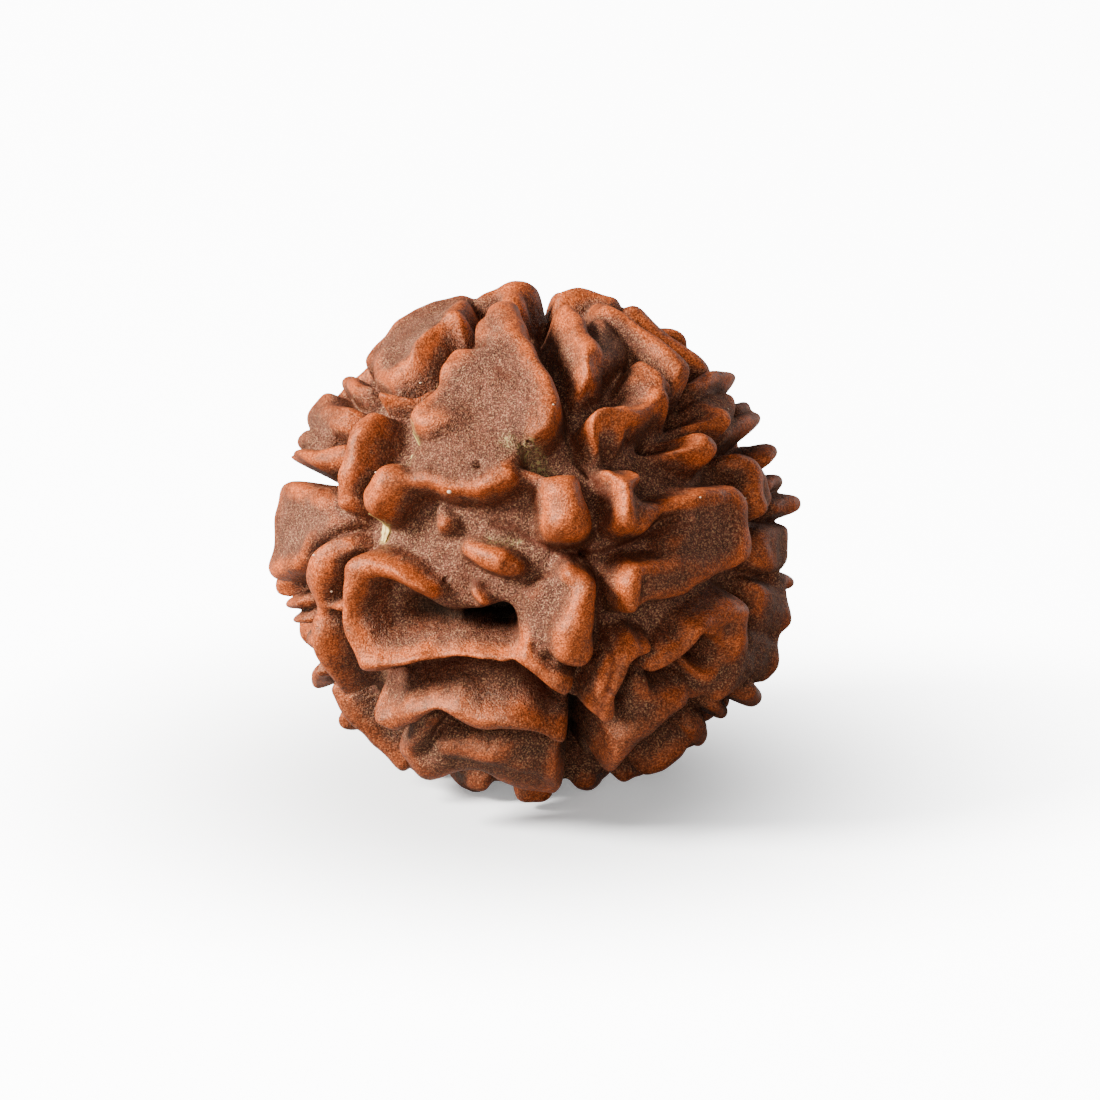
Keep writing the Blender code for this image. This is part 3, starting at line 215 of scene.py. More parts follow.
# Ridges: each is a path of points with the crest's radius and half width
RIDGES = {
    "crown rim": (
        seen(-1.3, 10.2, 10.9, 0.7), seen(-0.9, 9.3, 10.9, 0.55), seen(-0.3, 8.4, 10.9, 0.5),
        seen(0.3, 7.3, 10.9, 0.5), seen(0.75, 6.3, 10.9, 0.55), seen(0.7, 5.7, 10.95, 0.6),
    ),
    "crown knob": (seen(0.2, 5.6, 10.95, 0.7), seen(0.5, 5.8, 10.95, 0.7)),
    "crown left lobe": (
        seen(-4.75, 5.75, 10.85, 0.6), seen(-4.35, 5.5, 10.9, 0.68), seen(-3.3, 5.9, 10.7, 0.6),
    ),
    "crown upper lobe": (seen(-3.55, 7.6, 10.75, 0.5), seen(-3.0, 7.9, 10.8, 0.55)),
    "crown back": (
        around(100.5, 90, 10.85, 0.5), around(98, 91, 11.0, 0.6), around(93.5, 91, 11.1, 0.65),
        around(91, 92, 10.9, 0.5),
    ),
    "crown back root": (around(95, 84, 10.6, 0.6), around(95, 98, 10.9, 0.6)),
    "upper left slab": (
        seen(-3.3, 9.8, 10.9, 0.5), seen(-4.3, 9.1, 10.95, 0.6), seen(-5.1, 8.2, 10.9, 0.6),
        seen(-5.8, 7.3, 10.85, 0.5), seen(-6.15, 6.6, 10.5, 0.4),
    ),
    "upper left slab back": (
        around(106, 91, 11.0, 0.7), around(112, 91, 11.1, 0.8), around(118, 91, 11.05, 0.8),
        around(125, 90, 10.65, 0.7), around(130, 88, 10.55, 0.6),
    ),
    "tooth above block": (
        seen(-6.9, 6.75, 9.9, 0.4), seen(-7.5, 6.85, 10.3, 0.42), around(139, 95, 10.5, 0.4),
    ),
    "knob under block": (
        seen(-8.7, 4.5, 10.1, 0.35), around(153.5, 87, 10.75, 0.38), around(153.5, 99, 10.8, 0.4),
    ),
    "left horn": (
        seen(-8.2, 3.95, 10.0, 0.5), seen(-9.2, 3.85, 10.5, 0.42), around(159.2, 90, 10.9, 0.36),
        around(159.2, 103, 10.6, 0.35),
    ),
    "upper left ridge": (
        seen(-6.7, 5.45, 10.5, 0.42), seen(-7.1, 5.0, 10.75, 0.5), seen(-7.5, 4.3, 10.85, 0.5),
        seen(-7.8, 3.4, 10.8, 0.48), seen(-8.05, 2.6, 10.7, 0.5), seen(-7.95, 2.15, 10.5, 0.5),
    ),
    "bone head": (seen(-6.75, 2.2, 11.0, 0.85), seen(-6.15, 2.95, 11.1, 0.95)),
    "bone": (
        seen(-6.0, 2.9, 10.85, 0.5), seen(-5.0, 2.85, 10.5, 0.42), seen(-4.2, 2.8, 10.4, 0.38),
        seen(-3.2, 2.7, 10.4, 0.38), seen(-2.4, 2.6, 10.45, 0.4), seen(-1.6, 2.8, 10.5, 0.45),
        seen(-1.0, 3.1, 10.45, 0.5),
    ),
    "small bump": (seen(-3.75, 1.5, 9.2, 0.3), seen(-3.5, 1.0, 9.5, 0.36)),
    "middle bump": (
        seen(-2.6, 0.0, 9.5, 0.4), seen(-1.9, -0.4, 10.0, 0.55), seen(-1.2, -0.65, 10.15, 0.6),
        seen(-0.7, -0.8, 9.8, 0.5),
    ),
    "nub over hole": (seen(-2.3, -1.8, 9.4, 0.3), seen(-2.0, -2.4, 9.7, 0.16)),
    "left winding ridge": (
        seen(-7.9, 0.15, 10.1, 0.45), seen(-8.6, -0.15, 10.5, 0.58), seen(-9.1, -0.8, 10.75, 0.66),
        seen(-9.2, -1.5, 10.75, 0.62), seen(-8.95, -2.2, 10.5, 0.42), seen(-8.9, -2.7, 10.4, 0.36),
        seen(-9.05, -3.2, 10.6, 0.48), seen(-9.0, -3.8, 10.7, 0.55), seen(-8.75, -4.6, 10.65, 0.5),
        seen(-8.4, -5.3, 10.5, 0.48), seen(-7.95, -6.0, 10.3, 0.42),
    ),
    "frame top": (
        seen(-7.5, -0.85, 10.85, 0.58), seen(-6.8, -0.85, 10.75, 0.52), seen(-6.0, -1.15, 10.55, 0.48),
        seen(-5.4, -1.55, 10.5, 0.48), seen(-4.85, -1.85, 10.4, 0.42),
    ),
    "frame left": (
        seen(-7.6, -1.0, 10.9, 0.62), seen(-7.7, -2.2, 10.75, 0.55), seen(-7.55, -3.4, 10.75, 0.55),
        seen(-7.3, -4.35, 10.85, 0.62), seen(-6.8, -5.0, 10.95, 0.7),
    ),
    "frame tooth": (seen(-8.1, -2.5, 10.4, 0.3), seen(-8.7, -2.5, 10.4, 0.12)),
    "frame bottom": (
        seen(-6.8, -5.0, 10.95, 0.7), seen(-6.0, -5.15, 11.0, 0.68), seen(-5.1, -4.85, 10.95, 0.62),
        seen(-4.0, -4.6, 10.85, 0.55), seen(-3.0, -4.6, 10.85, 0.55), seen(-2.0, -4.65, 10.85, 0.55),
        seen(-1.2, -4.4, 10.7, 0.5), seen(-0.5, -4.1, 10.3, 0.5),
    ),
    "short finger": (
        seen(-0.7, -4.45, 10.4, 0.45), seen(0.2, -5.15, 10.6, 0.48), seen(0.8, -5.65, 10.8, 0.55),
        seen(1.3, -5.95, 10.85, 0.52),
    ),
    "second tier left": (
        seen(-6.3, -6.4, 10.7, 0.6), seen(-6.45, -7.0, 10.85, 0.72), seen(-5.9, -7.4, 10.8, 0.62),
        seen(-5.3, -7.15, 10.65, 0.5),
    ),
    "second tier": (
        seen(-5.7, -7.4, 10.6, 0.42), seen(-5.0, -6.95, 10.6, 0.42), seen(-4.2, -6.55, 10.6, 0.42),
        seen(-3.2, -6.75, 10.6, 0.5), seen(-2.2, -7.2, 10.7, 0.55), seen(-1.0, -7.45, 10.75, 0.55),
        seen(0.2, -7.55, 10.8, 0.5), seen(1.25, -7.9, 11.0, 0.62),
    ),
    "second tier end": (seen(1.45, -7.6, 11.0, 0.5), seen(1.3, -8.4, 11.0, 0.5)),
    "third tier left": (
        seen(-4.35, -7.4, 10.2, 0.4), seen(-4.8, -8.1, 10.5, 0.42), seen(-5.3, -8.6, 10.75, 0.5),
    ),
    "third tier lobe": (
        seen(-5.1, -8.7, 10.75, 0.6), seen(-4.6, -9.35, 11.0, 0.65), seen(-3.9, -9.2, 10.8, 0.55),
    ),
    "right finger": (
        seen(4.2, -4.3, 10.5, 0.45), seen(3.75, -4.7, 10.75, 0.5), seen(3.4, -5.4, 10.85, 0.52),
        seen(3.2, -6.2, 10.9, 0.52), seen(3.15, -7.0, 10.95, 0.52),
    ),
    "right finger branch": (seen(4.0, -4.5, 10.5, 0.4), seen(4.8, -4.3, 10.3, 0.3)),
    "bottom slab": (
        seen(2.95, -9.4, 11.0, 0.8), seen(3.3, -9.0, 11.0, 0.78), seen(3.9, -8.4, 10.85, 0.7),
        seen(4.6, -7.8, 10.75, 0.62), seen(5.5, -7.1, 10.65, 0.6), seen(6.2, -6.6, 10.6, 0.5),
    ),
    "low right crest": (
        seen(8.6, -2.6, 10.6, 0.5), seen(7.6, -3.0, 10.5, 0.45), seen(6.9, -3.45, 10.5, 0.42),
        seen(6.5, -4.1, 10.45, 0.38), seen(5.7, -4.6, 10.35, 0.36), seen(5.1, -4.9, 10.2, 0.34),
    ),
    "low right edge": (
        seen(8.8, -2.8, 10.6, 0.5), seen(8.75, -4.0, 10.7, 0.5), seen(8.6, -5.2, 10.7, 0.52),
        seen(7.9, -6.1, 10.7, 0.5),
    ),
    "short right finger": (
        seen(4.3, -0.9, 10.5, 0.42), seen(4.2, -1.6, 10.75, 0.42), seen(4.3, -2.45, 10.65, 0.42),
    ),
    "right arm": (
        seen(4.3, -0.95, 10.45, 0.36), seen(5.4, -0.75, 10.3, 0.36), seen(6.5, -0.6, 10.35, 0.45),
        seen(7.6, -0.7, 10.45, 0.55), seen(8.6, -0.5, 10.6, 0.5),
    ),
    "right plate crest": (
        seen(5.7, 1.8, 10.1, 0.35), seen(6.5, 2.0, 10.4, 0.38), seen(7.4, 2.25, 10.6, 0.42),
        seen(8.4, 2.3, 10.7, 0.45),
    ),
    "right plate edge": (
        seen(8.6, 2.1, 10.7, 0.45), seen(8.75, 1.2, 10.7, 0.5), seen(8.8, 0.2, 10.6, 0.5),
        seen(8.6, -0.5, 10.6, 0.5),
    ),
    "crescent": (
        seen(4.5, 3.1, 10.5, 0.3), seen(4.1, 2.6, 10.75, 0.34), seen(3.95, 1.9, 10.8, 0.36),
        seen(4.0, 1.2, 10.7, 0.4),
    ),
    "upper right finger": (
        seen(5.5, 4.5, 10.0, 0.42), seen(6.5, 4.6, 10.6, 0.58), seen(7.5, 4.35, 10.85, 0.64),
    ),
    "stepped block low": (seen(6.9, 5.5, 10.1, 0.4), seen(8.1, 5.55, 10.6, 0.48)),
    "back strut": (
        seen(6.9, 6.85, 10.2, 0.32), seen(7.7, 7.15, 10.7, 0.34), around(41.5, 93, 11.2, 0.32),
    ),
    "upper right rim": (
        seen(1.5, 10.1, 10.7, 0.45), seen(1.95, 9.3, 10.65, 0.45), seen(2.35, 8.5, 10.65, 0.45),
        seen(2.55, 7.7, 10.6, 0.45),
    ),
    "far right ridge": (
        seen(3.1, 10.1, 10.8, 0.4), seen(3.9, 9.7, 10.8, 0.42), seen(4.8, 9.1, 10.8, 0.44),
        seen(5.7, 8.3, 10.8, 0.46), seen(6.5, 7.5, 10.8, 0.48),
    ),
    "hooked ridge upper": (
        seen(4.6, 7.75, 10.4, 0.3), seen(5.4, 7.2, 10.6, 0.38), seen(6.05, 6.65, 10.7, 0.45),
    ),
    "hooked ridge lower": (
        seen(6.0, 6.6, 10.7, 0.45), seen(5.3, 6.4, 10.6, 0.42), seen(4.5, 5.9, 10.55, 0.42),
        seen(3.7, 5.6, 10.6, 0.45),
    ),
    "hooked ridge knob": (
        seen(3.5, 5.45, 11.15, 0.68), seen(3.35, 5.0, 10.95, 0.55), seen(3.1, 4.5, 10.3, 0.4),
    ),
    "egg knob": (seen(1.3, 2.35, 11.0, 1.1), seen(1.6, 1.25, 11.2, 1.2)),
    "egg knob root": (seen(-0.6, 3.2, 9.9, 0.4), seen(0.5, 2.7, 9.9, 0.5)),
    "long knob crest": (
        seen(1.6, -1.3, 10.5, 0.45), seen(2.1, -1.9, 10.85, 0.65), seen(2.05, -2.9, 11.0, 0.8),
        seen(1.8, -3.8, 11.15, 0.95), seen(1.85, -4.5, 11.1, 0.85),
    ),
    "right outer edge": (
        seen(8.8, 3.7, 10.3, 0.45), seen(9.3, 3.3, 10.5, 0.45), seen(9.5, 2.5, 10.6, 0.45),
        seen(9.7, 1.8, 10.6, 0.45),
    ),
    "right tooth upper": (around(14.6, 82, 10.5, 0.3), around(14.8, 92, 10.75, 0.32)),
    "right tooth": (around(9.7, 82, 10.6, 0.32), around(9.7, 90, 11.3, 0.36), around(9.7, 98, 11.0, 0.36)),
    "right block": (
        around(-4, 84, 10.6, 0.5), around(1, 86, 10.65, 0.55), around(4, 88, 10.65, 0.45),
    ),
    "right low tooth": (around(-8.2, 84, 10.6, 0.3), around(-7.9, 94, 11.1, 0.32)),
    "low right block": (
        around(-11, 86, 10.8, 0.5), around(-15.5, 87, 11.15, 0.55), around(-18, 88, 10.95, 0.5),
    ),
    "low right block lower": (
        around(-21, 87, 10.95, 0.5), around(-25.5, 88, 11.35, 0.55), around(-28, 89, 11.3, 0.5),
    ),
    "low right tooth": (around(-34, 84, 11.2, 0.45), around(-34, 96, 11.5, 0.45)),
    "bottom right teeth": (around(-41, 84, 10.5, 0.4), around(-41, 95, 10.65, 0.4)),
    "bottom right block": (around(-48, 84, 10.4, 0.5), around(-49, 92, 10.75, 0.55)),
    "bottom right mass": (
        around(-53, 88, 10.5, 0.5), around(-57, 90, 10.75, 0.6), around(-62, 90, 10.6, 0.55),
    ),
    "upper right tooth": (
        seen(8.1, 4.9, 10.0, 0.34), around(30.4, 90, 10.9, 0.34), around(30.4, 100, 10.8, 0.34),
    ),
    "upper right tooth behind": (around(34, 86, 10.4, 0.3), around(33.8, 95, 10.9, 0.32)),
    "right high tooth": (
        around(21, 85, 10.7, 0.38), around(22.2, 90, 11.05, 0.4), around(22.5, 99, 10.9, 0.4),
    ),
    "back right mass": (
        around(47, 90, 10.65, 0.5), around(53, 90, 10.6, 0.55), around(60, 91, 10.7, 0.55),
        around(66, 92, 10.85, 0.55),
    ),
    "back top mass": (
        around(72, 92, 11.0, 0.5), around(77, 92, 11.1, 0.55), around(80.5, 91, 11.1, 0.5),
        around(83, 90, 10.8, 0.4),
    ),
    "left tooth upper": (around(193, 84, 10.2, 0.3), around(193.1, 94, 10.6, 0.32)),
    "left tooth lower": (around(197.8, 84, 10.2, 0.25), around(197.8, 93, 10.45, 0.28)),
    "low left block": (around(203.5, 84, 10.1, 0.4), around(204, 96, 10.3, 0.5)),
    "low left tooth": (around(210.5, 86, 10.4, 0.35), around(211, 95, 10.9, 0.34)),
    "low left mass": (
        around(217, 86, 10.35, 0.5), around(222, 87, 10.5, 0.6), around(228, 88, 10.5, 0.6),
        around(233, 90, 10.6, 0.5), around(239, 91, 10.8, 0.45),
    ),
    "bottom middle": (around(269, 90, 10.6, 0.6), around(273, 91, 10.65, 0.6)),
    "left foot": (around(257, 94, 10.4, 0.5), around(256, 103, 10.75, 0.6), around(252, 111, 10.85, 0.5)),
    "right foot": (around(283, 97, 10.5, 0.5), around(284, 105, 10.7, 0.6), around(288, 112, 10.85, 0.5)),
    "rear foot": (around(263, 122, 10.85, 0.5), around(270, 124, 10.95, 0.55), around(278, 121, 10.85, 0.5)),
    "under body": (
        around(240, 95, 9.7, 0.9), around(256, 97, 9.9, 1.0), around(272, 98, 9.9, 1.0),
        around(288, 97, 9.9, 1.0), around(304, 94, 9.7, 0.9),
    ),
    "left haunch": (
        around(247, 97, 10.6, 0.5), around(240, 102, 10.7, 0.6), around(233, 98, 10.6, 0.55),
    ),
    "right haunch": (
        around(293, 95, 10.5, 0.5), around(300, 101, 10.7, 0.6), around(309, 97, 10.7, 0.55),
    ),
}

# Plates: an outline with the radius at each corner, and how far the middle is dished
PLATES = {
    "crown": (0.12, (
        seen(-2.2, 8.6, 10.6), seen(-3.4, 8.35, 10.6), seen(-4.1, 7.5, 10.6), seen(-4.25, 6.7, 10.6),
        seen(-5.1, 6.0, 10.6), seen(-5.25, 5.3, 10.6), seen(-4.5, 4.6, 10.3), seen(-3.0, 4.6, 10.0),
        seen(-1.6, 4.4, 9.8), seen(-0.2, 4.7, 10.2), seen(0.9, 5.1, 10.7), seen(1.2, 6.2, 10.8),
        seen(0.5, 7.7, 10.8), seen(-0.5, 9.3, 10.8), seen(-1.6, 10.2, 10.8), seen(-2.4, 9.4, 10.6),
    )),
    "upper left slab face": (0.1, (
        seen(-2.9, 10.1, 10.8), around(104, 92, 10.9), around(112, 93, 11.05), around(120, 93, 11.0),
        around(130, 91, 10.6), seen(-6.8, 7.5, 10.3), seen(-6.5, 7.0, 10.1), seen(-6.0, 6.9, 10.1),
        seen(-5.5, 7.3, 10.2), seen(-4.8, 8.2, 10.4), seen(-3.6, 9.5, 10.6),
    )),
    "shelf over bone": (0.0, (
        seen(-5.2, 3.4, 10.0), seen(-4.6, 4.5, 10.0), seen(-3.0, 5.2, 10.0), seen(-1.4, 5.0, 9.7),
        seen(-0.1, 4.2, 9.9), seen(-0.6, 3.1, 10.4), seen(-1.6, 2.8, 10.5), seen(-3.0, 2.7, 10.4),
        seen(-5.0, 2.8, 10.3),
    )),
    "long knob": (0.0, (
        seen(1.2, -1.0, 10.1), seen(2.0, -1.1, 10.2), seen(2.55, -1.6, 10.2), seen(2.65, -2.4, 10.2),
        seen(2.5, -4.0, 10.1), seen(2.2, -4.7, 10.0), seen(1.3, -4.6, 10.0), seen(0.85, -4.0, 10.0),
        seen(0.8, -3.0, 10.0), seen(0.9, -1.9, 10.0),
    )),
    "slope beside long knob": (0.0, (
        seen(1.4, -1.2, 9.9), seen(0.4, -1.3, 9.6), seen(-0.5, -1.9, 9.3), seen(-0.3, -2.8, 9.3),
        seen(-0.5, -3.6, 9.7), seen(-0.7, -4.3, 10.2), seen(0.2, -4.7, 10.3), seen(0.9, -4.4, 10.1),
        seen(1.4, -3.0, 10.1),
    )),
    "left lobe": (0.3, (
        seen(-8.6, 2.5, 10.1), seen(-9.6, 2.85, 10.4), around(164.5, 88, 10.7), around(167, 92, 10.95),
        around(172.5, 91, 10.85), around(179, 91, 10.95), around(183.5, 92, 11.2), around(186.3, 90, 11.1),
        seen(-9.9, -1.05, 10.5), seen(-9.3, -0.2, 10.3), seen(-8.5, 0.5, 10.1), seen(-7.5, 1.1, 9.9),
        seen(-7.9, 1.8, 9.9),
    )),
    "upper left block": (0.2, (
        seen(-7.5, 6.1, 10.2), seen(-8.3, 6.35, 10.6), around(143.5, 92, 10.85), around(148, 95, 10.95),
        around(151, 92, 10.85), seen(-8.9, 4.95, 10.4), seen(-8.1, 4.9, 10.1), seen(-7.6, 5.4, 10.0),
    )),
    "frame shelf": (0.0, (
        seen(-7.3, -4.5, 10.0), seen(-6.8, -5.0, 10.3), seen(-5.6, -5.0, 10.3), seen(-4.4, -4.7, 10.2),
        seen(-1.6, -4.7, 10.1), seen(-0.9, -4.3, 10.0), seen(-2.4, -4.3, 9.8), seen(-4.6, -4.2, 9.8),
        seen(-6.2, -4.4, 9.8),
    )),
    "second tier face": (0.0, (
        seen(-6.7, -6.8, 9.9), seen(-5.4, -6.7, 9.6), seen(-4.0, -6.5, 9.6), seen(-1.5, -7.0, 9.7),
        seen(0.6, -7.4, 10.0), seen(1.2, -7.9, 10.4), seen(0.2, -7.8, 10.4), seen(-2.0, -7.6, 10.3),
        seen(-3.4, -7.0, 10.2), seen(-4.6, -6.9, 10.2), seen(-5.9, -7.6, 10.2), seen(-6.6, -7.2, 10.2),
    )),
    "third tier": (0.3, (
        seen(-5.0, -9.0, 10.7), seen(-4.4, -9.8, 11.0), seen(-3.2, -9.5, 10.6), seen(-2.0, -9.5, 10.5),
        seen(-1.0, -9.95, 10.6), seen(0.3, -10.3, 10.7), seen(1.1, -10.4, 10.75), seen(1.6, -9.7, 10.8),
        seen(1.65, -8.9, 10.8), seen(0.9, -8.9, 10.6), seen(-0.8, -8.6, 10.5), seen(-3.0, -8.3, 10.4),
        seen(-4.3, -8.3, 10.5),
    )),
    "crescent plate": (0.0, (
        seen(3.2, 3.4, 10.4), seen(4.6, 3.5, 10.4), seen(4.4, 2.7, 10.4), seen(4.7, 2.0, 10.2),
        seen(5.6, 1.8, 10.2), seen(5.3, 1.1, 10.2), seen(4.7, 0.7, 10.3), seen(3.7, 0.9, 10.4),
        seen(3.3, 1.6, 10.3), seen(3.4, 2.6, 10.3),
    )),
    "right plate": (0.25, (
        seen(7.2, 2.2, 10.4), seen(8.8, 2.5, 10.7), seen(9.15, 1.6, 10.7), seen(9.2, 0.2, 10.65),
        seen(9.05, -0.8, 10.6), seen(8.0, -1.2, 10.4), seen(6.9, -1.6, 10.3), seen(5.6, -0.9, 10.1),
        seen(5.6, 0.2, 10.0), seen(6.2, 1.5, 10.1),
    )),
    "right shelf": (0.0, (
        seen(4.6, -0.8, 10.2), seen(6.4, -0.5, 10.2), seen(7.4, -1.0, 10.3), seen(6.7, -1.8, 10.3),
        seen(6.1, -2.1, 10.3), seen(5.0, -2.4, 10.2), seen(4.5, -2.7, 10.3),
    )),
    "low right plate": (0.2, (
        seen(8.0, -2.4, 10.5), seen(9.2, -2.3, 10.65), seen(9.25, -4.0, 10.7), seen(9.15, -5.4, 10.75),
        seen(8.3, -6.3, 10.7), seen(7.2, -6.3, 10.5), seen(6.9, -5.3, 10.2), seen(6.6, -4.6, 10.2),
        seen(7.0, -3.8, 10.2), seen(7.4, -3.2, 10.3),
    )),
    "low right slope": (0.0, (
        seen(4.4, -5.2, 9.8), seen(5.8, -5.6, 10.0), seen(7.2, -5.6, 10.1), seen(7.9, -5.8, 10.3),
        seen(7.0, -6.5, 10.4), seen(6.2, -6.9, 10.5), seen(5.0, -8.1, 10.6), seen(4.0, -8.9, 10.7),
        seen(3.3, -9.4, 10.7), seen(3.4, -8.2, 10.2), seen(3.9, -6.6, 9.9),
    )),
    "upper right slope": (0.0, (
        seen(0.9, 10.2, 10.4), seen(1.5, 10.4, 10.7), seen(2.2, 9.2, 10.7), seen(2.8, 8.0, 10.6),
        seen(2.6, 7.2, 10.3), seen(2.0, 6.4, 9.8), seen(1.6, 7.4, 9.8), seen(1.1, 8.8, 10.0),
    )),
    "far right slope": (0.2, (
        seen(2.4, 10.3, 10.6), seen(3.4, 10.1, 10.6), seen(4.2, 9.3, 10.3), seen(4.3, 8.3, 9.9),
        seen(3.6, 7.6, 9.8), seen(2.9, 7.7, 10.3), seen(2.5, 8.8, 10.4),
    )),
    "hooked plate": (0.0, (
        seen(4.3, 8.0, 10.2), seen(5.2, 7.5, 10.4), seen(6.3, 6.9, 10.5), seen(6.1, 6.2, 10.5),
        seen(4.6, 5.8, 10.3), seen(3.9, 5.9, 10.2), seen(3.8, 6.9, 10.0),
    )),
    "stepped block": (0.0, (
        seen(7.0, 6.4, 10.0), seen(8.2, 6.6, 10.6), seen(8.75, 5.95, 10.7), seen(8.6, 5.4, 10.6),
        seen(7.2, 5.1, 10.1), seen(6.7, 5.7, 9.9),
    )),
    "right outer face": (0.0, (
        seen(8.3, 3.8, 10.1), seen(9.3, 3.95, 10.5), seen(9.8, 3.0, 10.55), seen(10.2, 2.0, 10.6),
        seen(9.8, 1.35, 10.5), seen(9.2, 1.6, 10.3), seen(9.0, 2.6, 10.2),
    )),
    "right block face": (0.0, (
        around(-5.2, 70, 10.3), around(-5.4, 88, 10.7), around(5.4, 88, 10.7), around(5.8, 70, 10.3),
    )),
    "lower right block face": (0.0, (
        around(-9, 72, 10.3), around(-9.5, 88, 10.8), around(-17.5, 88, 11.1), around(-19, 74, 10.4),
    )),
    "lowest right block face": (0.0, (
        around(-20, 72, 10.3), around(-20, 88, 10.9), around(-30, 89, 11.3), around(-31, 74, 10.5),
    )),
}

# Cuts: the radius of the bed, how steep the sides are, and a path on the surface above it
CUTS = {
    "left notch": (8.2, 8.0, (
        seen(-8.4, 3.05, 10.2, 0.03), seen(-9.2, 3.2, 10.4, 0.1), around(162.0, 92, 10.0, 0.16),
        around(163, 104, 10.0, 0.4), around(163, 118, 10.0, 0.5),
    )),
    "hole mouth": (7.7, 2.2, (
        seen(-3.6, -3.2, 9.2, 0.05), seen(-2.2, -3.15, 9.2, 0.1), seen(-1.35, -3.1, 9.2, 0.2),
    )),
    "deep hole": (6.2, 6.0, (
        seen(-3.1, -3.25, 9.2, 0.05), seen(-2.1, -3.2, 9.2, 0.24), seen(-1.3, -3.1, 9.2, 0.4),
    )),
    "trough into hole": (7.8, 1.9, (
        seen(-5.2, -2.7, 9.2, 0.35), seen(-4.4, -2.9, 9.2, 0.25), seen(-3.6, -3.1, 9.2, 0.25),
        seen(-2.7, -3.15, 9.2, 0.2),
    )),
    "right hole": (7.2, 6.0, (seen(7.05, -4.4, 10.2, 0.2), seen(7.5, -4.6, 10.2, 0.3))),
    "right small hole": (7.9, 4.0, (seen(5.4, -5.15, 9.6, 0.2), seen(5.9, -5.15, 9.6, 0.25))),
    "shelf pit": (9.5, 5.0, (seen(-2.25, 3.5, 10.3, 0.02), seen(-2.15, 3.45, 10.3, 0.02))),
    "gap left of crown": (8.3, 2.6, (
        seen(-3.4, 9.0, 10.6, 0.05), seen(-4.3, 7.9, 10.3, 0.15), seen(-5.2, 6.9, 10.0, 0.2),
    )),
    "pit under hooked ridge": (8.0, 2.4, (seen(5.2, 4.75, 10.0, 0.1), seen(5.6, 4.9, 10.0, 0.12))),
    "pit behind finger": (8.0, 2.4, (seen(6.2, 5.9, 10.0, 0.1), seen(6.6, 6.0, 10.0, 0.1))),
    "right rim pit": (8.6, 2.4, (seen(8.9, -1.55, 10.5, 0.1), seen(9.4, -1.6, 10.5, 0.15))),
    "groove under frame": (8.2, 2.6, (
        seen(-6.7, -5.95, 10.4, 0.08), seen(-5.2, -5.75, 10.4, 0.16), seen(-3.2, -5.55, 10.4, 0.2),
        seen(-1.2, -5.65, 10.4, 0.18), seen(0.2, -6.5, 10.4, 0.12), seen(1.5, -6.85, 10.4, 0.1),
    )),
    "bottom seam": (7.6, 4.2, (
        seen(2.05, -7.2, 10.4, 0.08), seen(2.3, -8.3, 10.5, 0.26), seen(2.1, -9.4, 10.6, 0.2),
        around(281, 90, 10.5, 0.12),
    )),
    "crown valley": (9.95, 0.45, (
        seen(-2.5, 6.4, 10.6, 0.15), seen(-1.7, 5.4, 10.5, 0.3), seen(-0.9, 4.6, 10.3, 0.3),
    )),
    "hollow on third tier": (9.6, 0.9, (seen(-0.5, -8.35, 10.5, 0.15), seen(0.7, -8.6, 10.5, 0.15))),
    "upper right pit": (8.8, 1.4, (seen(3.3, 6.7, 9.8, 0.15), seen(3.6, 6.5, 9.8, 0.15))),
    "crescent pit": (8.6, 1.6, (seen(3.4, 3.8, 9.6, 0.12), seen(3.6, 3.7, 9.6, 0.12))),
}

# Seams between the four faces: paths away from the front pole, with depth and half width
SEAM_WIDTH = 0.16
SEAMS = {
    "upper seam": (0.35, (
        seen(2.4, -0.2, 9.3), seen(3.0, 0.9, 9.3), seen(3.05, 2.0, 9.3), seen(2.6, 3.1, 9.3),
        seen(2.0, 3.9, 9.3), seen(1.75, 5.0, 9.3), seen(1.5, 6.2, 9.4), seen(0.9, 7.5, 9.6),
        seen(0.6, 8.7, 9.8), seen(0.35, 9.9, 10.2), around(88, 95, 10.2),
    )),
    "left seam": (0.3, (
        seen(2.4, -0.2, 9.3), seen(1.4, -0.25, 9.3), seen(0.5, 0.15, 9.3), seen(-0.8, 0.8, 9.3),
        seen(-1.8, 1.0, 9.3),
    )),
    "right seam": (0.3, (
        seen(2.4, -0.2, 9.3), seen(3.2, -0.15, 9.3), seen(4.0, 0.2, 9.4), seen(5.0, 0.6, 9.4),
        seen(6.0, 0.9, 9.4),
    )),
    "lower seam": (0.3, (
        seen(2.4, -0.2, 9.3), seen(2.95, -1.6, 9.3), seen(3.0, -4.0, 9.3), seen(2.5, -5.6, 9.3),
        seen(2.05, -6.8, 9.3),
    )),
    "upper seam rear": (0.35, (
        around(88, 95, 10.0), around(90, 110, 10.0), around(97, 126, 10.0), around(105, 142, 10.0),
        around(140, 158, 10.0), around(175, 166, 10.0),
    )),
    "left seam rear": (0.35, (
        around(174, 96, 10.0), around(170, 112, 10.0), around(176, 128, 10.0), around(171, 146, 10.0),
        around(175, 166, 10.0),
    )),
    "right seam rear": (0.35, (
        around(6.5, 80, 10.0), around(6.5, 96, 10.0), around(11, 114, 10.0), around(3, 132, 10.0),
        around(-6, 152, 10.0), around(-50, 170, 10.0), around(175, 166, 10.0),
    )),
    "lower seam rear": (0.35, (
        around(277, 101, 10.0), around(272, 114, 10.0), around(266, 128, 10.0), around(258, 144, 10.0),
        around(225, 158, 10.0), around(175, 166, 10.0),
    )),
}


def unit_rows(vectors: np.ndarray) -> np.ndarray:
    """Return the rows of an array scaled to length one."""
    return vectors / np.linalg.norm(vectors, axis=1)[:, None]


